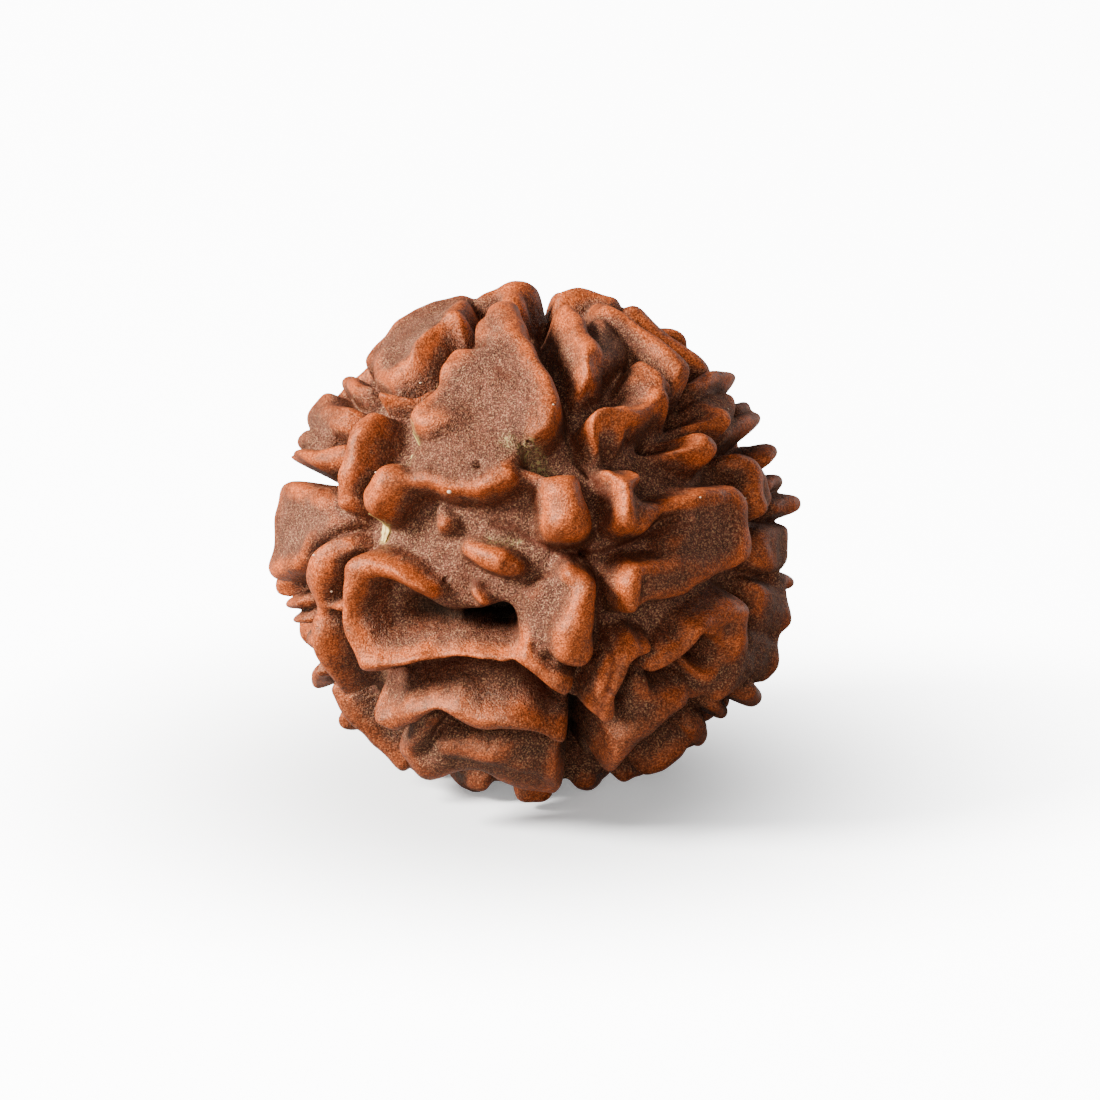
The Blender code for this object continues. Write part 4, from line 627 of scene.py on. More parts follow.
def ramp(values: np.ndarray, low: float, high: float) -> np.ndarray:
    """Return values eased from 0 at low to 1 at high."""
    share = np.clip((values - low) / (high - low), 0.0, 1.0)
    return share * share * (3.0 - 2.0 * share)


def smooth_max(first: np.ndarray, second: np.ndarray, width: float) -> np.ndarray:
    """Return the larger of two heights, with the corner between them filled."""
    overlap = np.maximum(width - np.abs(first - second), 0.0)
    return np.maximum(first, second) + overlap ** 2 / (4.0 * width)


def smooth_min(first: np.ndarray, second: np.ndarray, width: float) -> np.ndarray:
    """Return the smaller of two heights, with the corner between them rounded."""
    return -smooth_max(-first, -second, width)


def smooth_line(points: tuple[Point, ...], closed: bool = False) -> tuple[Point, ...]:
    """Return a path or an outline with more points, which runs smoothly through the given ones.

    Args:
        points: the given points in order.
        closed: whether the last point leads back to the first.

    Returns:
        The points of the smooth line.
    """
    count = len(points)
    if count < 3:
        return points
    rows = np.array([(*point.direction, point.top, point.half) for point in points])
    shares = np.arange(LINE_STEPS) / LINE_STEPS
    smoothed = []
    for index in range(count if closed else count - 1):
        places = np.arange(index - 1, index + 3)
        before, start, end, after = rows[places % count if closed else np.clip(places, 0, count - 1)]
        for share in shares:
            smoothed.append(
                start
                + 0.5 * share * (end - before)
                + share ** 2 * (before - 2.5 * start + 2.0 * end - 0.5 * after)
                + share ** 3 * (1.5 * (start - end) + 0.5 * (after - before))
            )
    if not closed:
        smoothed.append(rows[-1])
    lines = np.array(smoothed)
    lines[:, :3] = unit_rows(lines[:, :3])
    return tuple(Point(tuple(row[:3]), row[3], row[4]) for row in lines)


def raised_form(
    outside: np.ndarray, top: np.ndarray, rounding: np.ndarray | float, drop: np.ndarray | float
) -> np.ndarray:
    """Return the height of a form with a rounded edge and steep walls.

    Args:
        outside: distance past the form's edge, in millimetres, negative inside it.
        top: radius of the form's top.
        rounding: width of the rounded edge.
        drop: how far the rounded edge falls.

    Returns:
        The radius of its surface.
    """
    inward = np.clip((outside + rounding) / rounding, 0.0, 1.0)
    rounded = top - drop + drop * np.sqrt(1.0 - inward ** 2)
    wall = top - drop - WALL_SLOPE * outside
    return np.where(outside > 0.0, wall, rounded)


def distance_to_path(rays: np.ndarray, path: tuple[Point, ...]) -> tuple[np.ndarray, np.ndarray, np.ndarray]:
    """Return the distance past a path's half width, and the path's radius and half width there.

    Args:
        rays: unit directions, one a row.
        path: the path's points.

    Returns:
        Distances in millimetres, negative within the half width, radii and half widths.
    """
    outside = np.full(len(rays), np.inf)
    top = np.zeros(len(rays))
    half = np.zeros(len(rays))
    for start, end in zip(path, path[1:]):
        origin = np.array(start.direction)
        run = np.array(end.direction) - origin
        share = np.clip((rays - origin) @ run / (run @ run), 0.0, 1.0)
        nearest = unit_rows(origin + share[:, None] * run)
        width = start.half + share * (end.half - start.half)
        away = np.linalg.norm(rays - nearest, axis=1) * WIDTH_RADIUS - width
        closer = away < outside
        outside[closer] = away[closer]
        top[closer] = start.top + share[closer] * (end.top - start.top)
        half[closer] = width[closer]
    return outside, top, half


def rays_near(rays: np.ndarray, points: tuple[Point, ...]) -> np.ndarray:
    """Return which rays pass within reach of some points.

    Args:
        rays: unit directions, one a row.
        points: the points of a path or an outline.

    Returns:
        A mask with one value for each ray.
    """
    directions = np.array([point.direction for point in points])
    middle = directions.mean(axis=0)
    spread = np.linalg.norm(directions - middle, axis=1).max()
    return np.linalg.norm(rays - middle, axis=1) < spread + REACH / WIDTH_RADIUS


def distance_to_outline(rays: np.ndarray, outline: tuple[Point, ...]) -> tuple[np.ndarray, np.ndarray]:
    """Return the distance past an outline and the radius blended from its corners.

    Args:
        rays: unit directions, one a row.
        outline: the outline's corners in order.

    Returns:
        Distances in millimetres, negative inside the outline, and radii.
    """
    corners = np.array([point.direction for point in outline])
    tops = np.array([point.top for point in outline])
    middle = corners.mean(axis=0)
    middle /= np.linalg.norm(middle)
    aside = np.cross((0.0, 0.0, 1.0) if abs(middle[2]) < STEEP else (0.0, 1.0, 0.0), middle)
    aside /= np.linalg.norm(aside)
    along = np.cross(middle, aside)
    flat_corners = np.stack([corners @ aside, corners @ along], axis=1) / (corners @ middle)[:, None]
    facing = np.maximum(rays @ middle, LEAST_FACING)
    flat_rays = np.stack([rays @ aside, rays @ along], axis=1) / facing[:, None]
    edge = np.full(len(rays), np.inf)
    inside = np.zeros(len(rays), dtype=bool)
    count = len(outline)
    for index in range(count):
        following = (index + 1) % count
        run = corners[following] - corners[index]
        share = np.clip((rays - corners[index]) @ run / (run @ run), 0.0, 1.0)
        nearest = unit_rows(corners[index] + share[:, None] * run)
        edge = np.minimum(edge, np.linalg.norm(rays - nearest, axis=1))
        start = flat_corners[index]
        end = flat_corners[following]
        crosses = (start[1] > flat_rays[:, 1]) != (end[1] > flat_rays[:, 1])
        rise = end[1] - start[1] if end[1] != start[1] else 1.0
        meeting = start[0] + (flat_rays[:, 1] - start[1]) * (end[0] - start[0]) / rise
        inside ^= crosses & (flat_rays[:, 0] < meeting)
    spans = np.linalg.norm(rays[:, None, :] - corners[None, :, :], axis=2)
    weights = 1.0 / (spans ** 2 + LEAST_SPAN)
    top = (weights * tops).sum(axis=1) / weights.sum(axis=1)
    return np.where(inside, -edge, edge) * WIDTH_RADIUS, top


def view_frame() -> np.ndarray:
    """Work out how the view is turned.

    Returns:
        The view's right, up and forward directions in the bead's own frame, one a row.
    """
    lean = math.radians(LOOK_DOWN)
    return np.array([
        (1.0, 0.0, 0.0),
        (0.0, math.sin(lean), math.cos(lean)),
        (0.0, -math.cos(lean), math.sin(lean)),
    ])


def ground_radius(rays: np.ndarray) -> np.ndarray:
    """Return the radius at which rays in the view frame meet the ground, endless for those that don't."""
    down = -(rays @ view_frame()[:, 2])
    return np.where(down > LEAST_DOWN, REST_HEIGHT / np.maximum(down, LEAST_DOWN), np.inf)


def walk_path(path: tuple[Point, ...], steps: np.ndarray) -> np.ndarray:
    """Return unit directions along a path.

    Args:
        path: the path's points.
        steps: shares of the way from the first point to the last.

    Returns:
        The directions, one a row.
    """
    stops = np.linspace(0.0, 1.0, len(path))
    corners = np.array([point.direction for point in path])
    return unit_rows(np.stack([np.interp(steps, stops, corners[:, axis]) for axis in range(3)], axis=1))


def read_points(mesh: bpy.types.Mesh) -> np.ndarray:
    """Read where a mesh's points are.

    Args:
        mesh: the mesh.

    Returns:
        The points, one a row.
    """
    places = np.empty(len(mesh.vertices) * 3)
    mesh.vertices.foreach_get("co", places)
    return places.reshape(-1, 3)


def write_points(mesh: bpy.types.Mesh, points: np.ndarray) -> None:
    """Move a mesh's points to the given rows."""
    mesh.vertices.foreach_set("co", points.ravel())
    mesh.update()


def press_flats(mesh: bpy.types.Mesh) -> None:
    """Press the lowest ridge tops flat, so the bead rests on them.

    Args:
        mesh: the bead's mesh, in millimetres from its middle.
    """
    points = read_points(mesh)
    points[points[:, 2] < FLAT_PRESS - REST_HEIGHT, 2] = -REST_HEIGHT
    write_points(mesh, points)


def deselect_all() -> None:
    """Leave nothing selected, so that an operator acts only on what comes next."""
    for thing in bpy.context.selected_objects:
        thing.select_set(False)


def make_active(thing: bpy.types.Object) -> None:
    """Select one object alone and make it the active one.

    Args:
        thing: the object.
    """
    deselect_all()
    thing.select_set(True)
    bpy.context.view_layer.objects.active = thing


def apply_modifier(thing: bpy.types.Object, kind: str, **settings: float) -> None:
    """Add one modifier to an object and apply it.

    Args:
        thing: the object.
        kind: the modifier's type.
        settings: the modifier's own values by name.
    """
    modifier = thing.modifiers.new(kind, kind)
    for name, value in settings.items():
        setattr(modifier, name, value)
    make_active(thing)
    bpy.ops.object.modifier_apply(modifier=modifier.name)


def shade_smooth(thing: bpy.types.Object) -> None:
    """Shade an object smooth."""
    make_active(thing)
    bpy.ops.object.shade_smooth()


def tube_object(name: str, lines: list[np.ndarray], thickness: float) -> bpy.types.Object:
    """Make one mesh of thin round tubes with closed and tapered ends.

    Args:
        name: the object's name.
        lines: the points that each tube follows.
        thickness: radius of a tube at its middle.

    Returns:
        The tubes' object.
    """
    curve = bpy.data.curves.new(name, "CURVE")
    curve.dimensions = "3D"
    curve.bevel_depth = thickness
    curve.bevel_resolution = TUBE_ROUNDNESS
    curve.use_fill_caps = True
    for places in lines:
        line = curve.splines.new("POLY")
        line.points.add(len(places) - 1)
        taper = np.sqrt(np.sin(np.linspace(TUBE_TIP, math.pi - TUBE_TIP, len(places))))
        for point, place, share in zip(line.points, places, taper):
            point.co = (*place, 1.0)
            point.radius = share
    tube = bpy.data.objects.new(name, curve)
    bpy.context.collection.objects.link(tube)
    make_active(tube)
    bpy.ops.object.convert(target="MESH")
    tube = bpy.context.object
    shade_smooth(tube)
    return tube


# Fibres left in the cracks, as paths on the surface with their half widths
FIBRES = {
    "upper_fissure_strip": (
        seen(-6.28, 1.32, 9.2, 0.07), seen(-6.36, 0.9, 9.2, 0.1), seen(-6.5, 0.3, 9.2, 0.06),
    ),
    "lower_fissure_strip": (
        seen(-6.08, 1.28, 9.2, 0.05), seen(-6.2, 0.8, 9.2, 0.08), seen(-6.38, 0.25, 9.2, 0.05),
    ),
    "shelf_fibre": (seen(-4.8, 4.65, 9.8, 0.05), seen(-4.9, 4.2, 9.75, 0.07), seen(-5.02, 3.7, 9.7, 0.04)),
    "low_hair": (seen(-2.15, -8.3, 10.5, 0.01), seen(-2.05, -8.1, 10.5, 0.01), seen(-2.1, -7.8, 10.5, 0.01)),
}

# Stains of dried pulp, as short paths with their half widths
STAINS = {
    "crown foot": (seen(-0.35, 4.05, 9.7, 0.3), seen(0.25, 3.8, 9.6, 0.4), seen(0.6, 3.5, 9.5, 0.25)),
    "crown valley": (seen(-1.0, 4.4, 9.8, 0.2), seen(-0.8, 4.25, 9.8, 0.2)),
    "shelf edge": (seen(-4.75, 4.75, 9.9, 0.15), seen(-4.95, 4.2, 9.9, 0.2), seen(-5.1, 3.6, 9.9, 0.12)),
    "middle floor": (seen(-1.7, 0.4, 8.9, 0.05), seen(-0.6, 0.2, 8.9, 0.1)),
}

# Fine cracks and small reddish pits, as short paths with their half widths
FINE_CRACKS = {
    "crown pits": (seen(-1.48, 7.78, 10.9, 0.06), seen(-1.4, 7.72, 10.9, 0.06)),
    "crown pit": (seen(-1.25, 7.6, 10.9, 0.06), seen(-1.2, 7.6, 10.9, 0.06)),
    "crown low pit": (seen(-1.05, 7.5, 10.9, 0.05), seen(-1.0, 7.5, 10.9, 0.05)),
    "middle crack": (
        seen(-0.97, 1.05, 9.0, 0.02), seen(-0.2, 0.44, 9.0, 0.05), seen(0.9, -0.17, 9.0, 0.05),
        seen(1.78, -0.33, 9.0, 0.06), seen(2.66, -0.17, 9.0, 0.05), seen(4.2, 0.22, 9.2, 0.05),
        seen(5.2, 0.6, 9.4, 0.03),
    ),
    "floor crack": (seen(-2.9, -1.2, 9.0, 0.02), seen(-2.3, -1.5, 9.0, 0.03), seen(-1.8, -1.6, 9.0, 0.01)),
}

# Painted shade: dark bands under ledges, where shadow falls, as paths with their half widths
LEDGE_SHADE = {
    "under the frame": (
        seen(-6.6, -5.6, 9.7, 0.15), seen(-5.4, -5.3, 9.6, 0.25), seen(-3.3, -5.0, 9.5, 0.3),
        seen(-1.6, -5.0, 9.5, 0.3), seen(-0.6, -5.4, 9.5, 0.3), seen(0.6, -6.3, 9.5, 0.2),
    ),
}

# Pale grains stuck to the surface, each with its radius
GRAINS = (
    seen(-4.0, 9.0, 10.9, 0.1), seen(-3.85, 8.45, 10.6, 0.06), seen(-3.45, 2.35, 10.4, 0.1),
    seen(5.95, 6.45, 10.6, 0.09), seen(-9.0, -0.3, 10.7, 0.06), seen(-8.75, -1.9, 10.6, 0.06),
    seen(9.0, 2.1, 10.8, 0.06), seen(8.3, 5.9, 10.6, 0.06), seen(-5.4, 8.0, 10.9, 0.05),
    seen(0.9, 6.0, 10.9, 0.05), seen(-6.6, 3.2, 11.0, 0.05), seen(7.0, 2.1, 10.6, 0.05),
)


class Mask(Enum):
    """A value that the bead's mesh carries at each point for its material."""

    CREST = "crest"
    HOLLOW = "hollow"
    FLANK = "flank"
    # Painted shade, near black, where the surface lies deepest
    DEPTH = "depth"
    # Dark seams and fine cracks, together with painted shade under the ledges
    CRACK_AND_SHADE = "crack"
    FIBRE = "fibre"
    # Painted shade in deep narrow valleys
    NARROW_SHADE = "narrow"
    STAIN = "stain"
    # Painted shade that darkens the bead towards the bottom
    LOW = "low"


@dataclass(frozen=True)
class WaveField:
    """Waves of one length that cross in random directions over the bead.

    Args:
        seed: seed of the random draw.
        length: wave length, in millimetres.
        count: number of waves.
    """

    seed: int
    length: float
    count: int = NET_WAVES

    def distance_to_still_line(self, rays: np.ndarray) -> np.ndarray:
        """Return the distance to the nearest still line of the field.

        Args:
            rays: unit directions, one a row.

        Returns:
            Distances in millimetres, which are too small near the crossing of two lines.
        """
        random = np.random.default_rng(self.seed)
        directions = unit_rows(random.normal(size=(self.count, 3)))
        phases = random.uniform(0.0, 2.0 * math.pi, self.count)
        per_radian = 2.0 * math.pi * WIDTH_RADIUS / self.length
        angles = per_radian * rays @ directions.T + phases
        level = np.cos(angles).sum(axis=1)
        slopes = -(np.sin(angles) @ directions) * per_radian
        across = slopes - (slopes * rays).sum(axis=1)[:, None] * rays
        steepness = np.linalg.norm(across, axis=1) / WIDTH_RADIUS
        typical = 2.0 * math.pi / self.length * math.sqrt(self.count / 2.0)
        return np.abs(level) / np.maximum(steepness, NET_LEAST_SLOPE * typical)


@dataclass(frozen=True)
class Waver:
    """Smooth random values over the bead, in bands of one wave length each.

    Args:
        seed: seed of the random draw.
        bands: wave length and typical size of each band, in millimetres.
        waves: number of waves in each band.
    """

    seed: int
    bands: tuple[tuple[float, float], ...]
    waves: int = WAVER_WAVES

    def values(self, rays: np.ndarray, ways: int = 1) -> np.ndarray:
        """Return the values along unit directions.

        Args:
            rays: unit directions, one a row.
            ways: how many independent values to return for each direction.

        Returns:
            The values, one row for each direction.
        """
        random = np.random.default_rng(self.seed)
        total = np.zeros((len(rays), ways))
        for length, size in self.bands:
            directions = unit_rows(random.normal(size=(self.waves, 3)))
            phases = random.uniform(0.0, 2.0 * math.pi, self.waves)
            shares = random.normal(size=(self.waves, ways))
            angles = 2.0 * math.pi * WIDTH_RADIUS / length * rays @ directions.T + phases
            total += size * np.sin(angles) @ shares / math.sqrt(self.waves / 2.0)
        return total


@dataclass(frozen=True)
class Relief:
    """The bead's surface as a radius for every direction."""

    net: WaveField = WaveField(NET_SEED, NET_LENGTH)
    breaks: WaveField = WaveField(BREAK_SEED, BREAK_LENGTH)
    net_swell: Waver = Waver(NET_SEED, NET_SWELL_BANDS)
    waver: Waver = Waver(WAVER_SEED, WAVER_BANDS)
    swell: Waver = Waver(WAVER_SEED + 1, SWELL_BANDS)

    def raise_ridges(self, height: np.ndarray, room: np.ndarray, rays: np.ndarray) -> None:
        """Raise every ridge, and note the room that is left beside them.

        Args:
            height: the radius along each ray so far, which this raises.
            room: the distance from each ray to the nearest form, which this lowers.
            rays: unit directions in the view frame, one a row.
        """
        for path in RIDGES.values():
            near = rays_near(rays, path)
            outside, top, half = distance_to_path(rays[near], smooth_line(path))
            rounding = np.maximum(half, CREST_ROUND)
            drop = rounding + DOME_DROP * np.clip((half - DOME_START) / DOME_START, 0.0, 1.0)
            raised = raised_form(outside, top, rounding, drop)
            height[near] = smooth_max(height[near], raised, FORM_BLEND)
            room[near] = np.minimum(room[near], outside)

    def raise_plates(self, height: np.ndarray, room: np.ndarray, rays: np.ndarray) -> None:
        """Raise every plate with its middle dished, and note the room that is left beside them.

        Args:
            height: the radius along each ray so far, which this raises.
            room: the distance from each ray to the nearest form, which this lowers.
            rays: unit directions in the view frame, one a row.
        """
        for dish, outline in PLATES.values():
            near = rays_near(rays, outline)
            outside, top = distance_to_outline(rays[near], smooth_line(outline, closed=True))
            inward = np.clip((-outside - DISH_START) / DISH_WIDTH, 0.0, 1.0)
            top = top - dish * inward * inward * (3.0 - 2.0 * inward)
            raised = raised_form(outside, top, PLATE_ROUND, PLATE_ROUND)
            height[near] = smooth_max(height[near], raised, FORM_BLEND)
            room[near] = np.minimum(room[near], outside)

    def net_height(self, rays: np.ndarray, room: np.ndarray) -> np.ndarray:
        """Return the height of the winding net on the rear, where the named forms leave room.

        Args:
            rays: unit directions in the view frame, one a row.
            room: the distance from each ray to the nearest form.

        Returns:
            The net's radius along each ray.
        """
        outside = self.net.distance_to_still_line(rays) - NET_HALF
        outside = np.maximum(outside, BREAK_HALF - self.breaks.distance_to_still_line(rays))
        outside = np.maximum(outside, NET_CLEARANCE - room)
        tilt = np.degrees(np.arccos(np.clip(rays[:, 2], -1.0, 1.0)))
        share = np.clip((tilt - NET_START) / (NET_FULL - NET_START), 0.0, 1.0)
        top = NET_TOP + self.net_swell.values(rays)[:, 0]
        top = np.minimum(top, ground_radius(rays) - NET_OFF_GROUND)
        lowest = FLOOR_RADIUS - NET_SUNK
        return raised_form(outside, lowest + (top - lowest) * share, NET_HALF, NET_HALF)

    def cut_and_seam(self, height: np.ndarray, rays: np.ndarray) -> None:
        """Lower the surface along every cut and every seam.

        Args:
            height: the radius along each ray so far, which this lowers.
            rays: unit directions in the view frame, one a row.
        """
        for bed, slope, path in CUTS.values():
            near = rays_near(rays, path)
            outside, _, _ = distance_to_path(rays[near], smooth_line(path))
            sides = bed + slope * np.maximum(outside, 0.0)
            height[near] = smooth_min(height[near], sides, CUT_BLEND)
        for depth, path in SEAMS.values():
            near = rays_near(rays, path)
            outside, _, _ = distance_to_path(rays[near], smooth_line(path))
            height[near] -= depth * np.exp(-(outside / SEAM_WIDTH) ** 2)

    def radius(self, straight: np.ndarray) -> np.ndarray:
        """Work out the bead's surface.

        Args:
            straight: unit directions in the view frame, one a row.

        Returns:
            The bead's radius along each of them, in millimetres.
        """
        rays = unit_rows(straight + self.waver.values(straight, 3) / WIDTH_RADIUS)
        height = np.full(len(rays), FLOOR_RADIUS - REACH)
        room = np.full(len(rays), np.inf)
        self.raise_plates(height, room, rays)
        self.raise_ridges(height, room, rays)
        for _, path in SEAMS.values():
            near = rays_near(rays, path)
            room[near] = np.minimum(room[near], distance_to_path(rays[near], path)[0])
        height = smooth_max(height, self.net_height(rays, room), FORM_BLEND)
        height = smooth_max(height, np.full(len(rays), FLOOR_RADIUS), FLOOR_FILLET)
        self.cut_and_seam(height, rays)
        height += self.swell.values(straight)[:, 0]
        return np.minimum(height, ground_radius(straight))


@dataclass
class MeshField:
    """Values at the points of a mesh, and the edges along which they spread."""

    edges: np.ndarray
    count: int

    def spread(self, values: np.ndarray, passes: int) -> np.ndarray:
        """Return values evened out over the mesh.

        Args:
            values: one value for each point.
            passes: how often each point takes the mean of its neighbours and itself.

        Returns:
            The evened values.
        """
        first, second = self.edges[:, 0], self.edges[:, 1]
        near = np.bincount(first, minlength=self.count) + np.bincount(second, minlength=self.count)
        for _ in range(passes):
            total = np.bincount(first, values[second], self.count)
            total += np.bincount(second, values[first], self.count)
            values = (values + total) / (near + 1.0)
        return values


class NodePen:
    """Adds nodes to one node tree and links them."""

    def __init__(self, tree: bpy.types.NodeTree) -> None:
        """Keep the tree that the nodes go into."""
        self.tree = tree

    def add(self, kind: str, settings: dict[str, object] | None = None, **inputs: object) -> bpy.types.Node:
        """Add one node.

        Args:
            kind: the node's type, without the words ShaderNode.
            settings: the node's own properties.
            inputs: its sockets by name, each a value or the socket to link from.

        Returns:
            The node.
        """
        node = self.tree.nodes.new("ShaderNode" + kind)
        for name, value in (settings or {}).items():
            setattr(node, name, value)
        for name, value in inputs.items():
            self.feed(node.inputs[name.replace("_", " ")], value)
        return node

    def feed(self, socket: bpy.types.NodeSocket, value: object) -> None:
        """Set a socket to a value, or link it from another socket.

        Args:
            socket: the socket to feed.
            value: a plain value or another node's output.
        """
        if isinstance(value, bpy.types.NodeSocket):
            self.tree.links.new(value, socket)
        else:
            socket.default_value = value

    def math(
        self, operation: str, first: object, second: object = 0.0, clamp: bool = False
    ) -> bpy.types.NodeSocket:
        """Add a Math node.

        Args:
            operation: what the node works out.
            first: its first value or the socket to link from.
            second: its second value or the socket to link from.
            clamp: whether the result is kept between 0 and 1.

        Returns:
            The node's result.
        """
        node = self.tree.nodes.new("ShaderNodeMath")
        node.operation = operation
        node.use_clamp = clamp
        self.feed(node.inputs[0], first)
        self.feed(node.inputs[1], second)
        return node.outputs[0]

    def blend(self, share: object, first: object, second: object, mode: str = "MIX") -> bpy.types.NodeSocket:
        """Add a colour Mix node.

        Args:
            share: how much of the second colour shows.
            first: the colour below.
            second: the colour above.
            mode: how the two are blended.

        Returns:
            The node's result.
        """
        node = self.tree.nodes.new("ShaderNodeMix")
        node.data_type = "RGBA"
        node.blend_type = mode
        self.feed(node.inputs[0], share)
        self.feed(node.inputs[6], first)
        self.feed(node.inputs[7], second)
        return node.outputs[2]

    def steps(self, value: object, low: float, high: float) -> bpy.types.NodeSocket:
        """Add a smooth Map Range node.

        Args:
            value: the value or the socket to link from.
            low: the value that becomes 0.
            high: the value that becomes 1.

        Returns:
            The node's result.
        """
        node = self.add("MapRange", {"interpolation_type": "SMOOTHSTEP"})
        self.feed(node.inputs["Value"], value)
        node.inputs["From Min"].default_value = low
        node.inputs["From Max"].default_value = high
        return node.outputs["Result"]

    def attribute(self, name: str) -> bpy.types.NodeSocket:
        """Add an Attribute node and return the value that it reads."""
        return self.add("Attribute", {"attribute_name": name}).outputs["Fac"]

    def object_place(self) -> bpy.types.NodeSocket:
        """Return a point's place on its own object."""
        return self.add("TexCoord").outputs["Object"]


class SharedGroups:
    """Shader node groups that more than one material uses."""

    def __init__(self) -> None:
        """Build each group once."""
        self.grain = self.build_grain()
        self.mottle = self.build_mottle()

    def new_group(self, name: str, inputs: Iterable[tuple[str, float]], outputs: Iterable[str]) -> NodePen:
        """Make an empty group with float inputs and outputs.

        Args:
            name: the group's name.
            inputs: name and first value of each input.
            outputs: name of each output.

        Returns:
            A pen for the group's tree.
        """
        tree = bpy.data.node_groups.new(name, "ShaderNodeTree")
        tree.interface.new_socket(name="Place", in_out="INPUT", socket_type="NodeSocketVector")
        for label, value in inputs:
            socket = tree.interface.new_socket(name=label, in_out="INPUT", socket_type="NodeSocketFloat")
            socket.default_value = value
        for label in outputs:
            tree.interface.new_socket(name=label, in_out="OUTPUT", socket_type="NodeSocketFloat")
        return NodePen(tree)

    def build_grain(self) -> bpy.types.NodeTree:
        """Build fine dry grain from two sizes of noise.

        Returns:
            The group, which puts out a height and a mask of bright specks.
        """
        inputs = (("Fineness", GRAIN_FINENESS), ("Coarse share", GRAIN_COARSE_SHARE))
        pen = self.new_group("dry_grain", inputs, ("Height", "Speckle"))
        entry = pen.tree.nodes.new("NodeGroupInput")
        leave = pen.tree.nodes.new("NodeGroupOutput")
        fine = pen.add("TexNoise", Vector=entry.outputs["Place"], Scale=entry.outputs["Fineness"])
        fine.inputs["Detail"].default_value = FINE_DETAIL
        wide_scale = pen.math("MULTIPLY", entry.outputs["Fineness"], COARSE_SIZE)
        wide = pen.add("TexNoise", Vector=entry.outputs["Place"], Scale=wide_scale)
        wide.inputs["Detail"].default_value = WIDE_DETAIL
        wide_part = pen.math("MULTIPLY", wide.outputs["Fac"], entry.outputs["Coarse share"])
        height = pen.math("ADD", fine.outputs["Fac"], wide_part)
        speckle = pen.steps(fine.outputs["Fac"], *SPECKLE_LEVELS)
        pen.feed(leave.inputs["Height"], height)
        pen.feed(leave.inputs["Speckle"], speckle)
        return pen.tree

    def build_mottle(self) -> bpy.types.NodeTree:
        """Build soft uneven patches from one noise.

        Returns:
            The group, which puts out a mask that runs from 0 at the low level to 1 at the high one.
        """
        inputs = zip(("Size", "Low", "High"), MOTTLE)
        pen = self.new_group("mottle", inputs, ("Mask",))
        entry = pen.tree.nodes.new("NodeGroupInput")
        leave = pen.tree.nodes.new("NodeGroupOutput")
        patches = pen.add("TexNoise", Vector=entry.outputs["Place"], Scale=entry.outputs["Size"])
        patches.inputs["Detail"].default_value = MOTTLE_DETAIL
        node = pen.add("MapRange", {"interpolation_type": "SMOOTHSTEP"})
        pen.feed(node.inputs["Value"], patches.outputs["Fac"])
        pen.feed(node.inputs["From Min"], entry.outputs["Low"])
        pen.feed(node.inputs["From Max"], entry.outputs["High"])
        pen.feed(leave.inputs["Mask"], node.outputs["Result"])
        return pen.tree

    def place_grain(self, pen: NodePen, place: object, fineness: float, coarse: float) -> bpy.types.Node:
        """Put the grain group into a material.

        Args:
            pen: the pen for the material's tree.
            place: the socket that gives a point's place.
            fineness: scale of the fine noise.
            coarse: share of the wide noise in the height.

        Returns:
            The group's node.
        """
        node = pen.add("Group", {"node_tree": self.grain}, Place=place, Fineness=fineness)
        node.inputs["Coarse share"].default_value = coarse
        return node

    def place_mottle(self, pen: NodePen, place: object, mottle: Mottle) -> bpy.types.NodeSocket:
        """Put the mottle group into a material.

        Args:
            pen: the pen for the material's tree.
            place: the socket that gives a point's place.
            mottle: scale, low level and high level of the patches.

        Returns:
            The group's mask.
        """
        size, low, high = mottle
        node = pen.add("Group", {"node_tree": self.mottle}, Place=place, Size=size, Low=low, High=high)
        return node.outputs["Mask"]


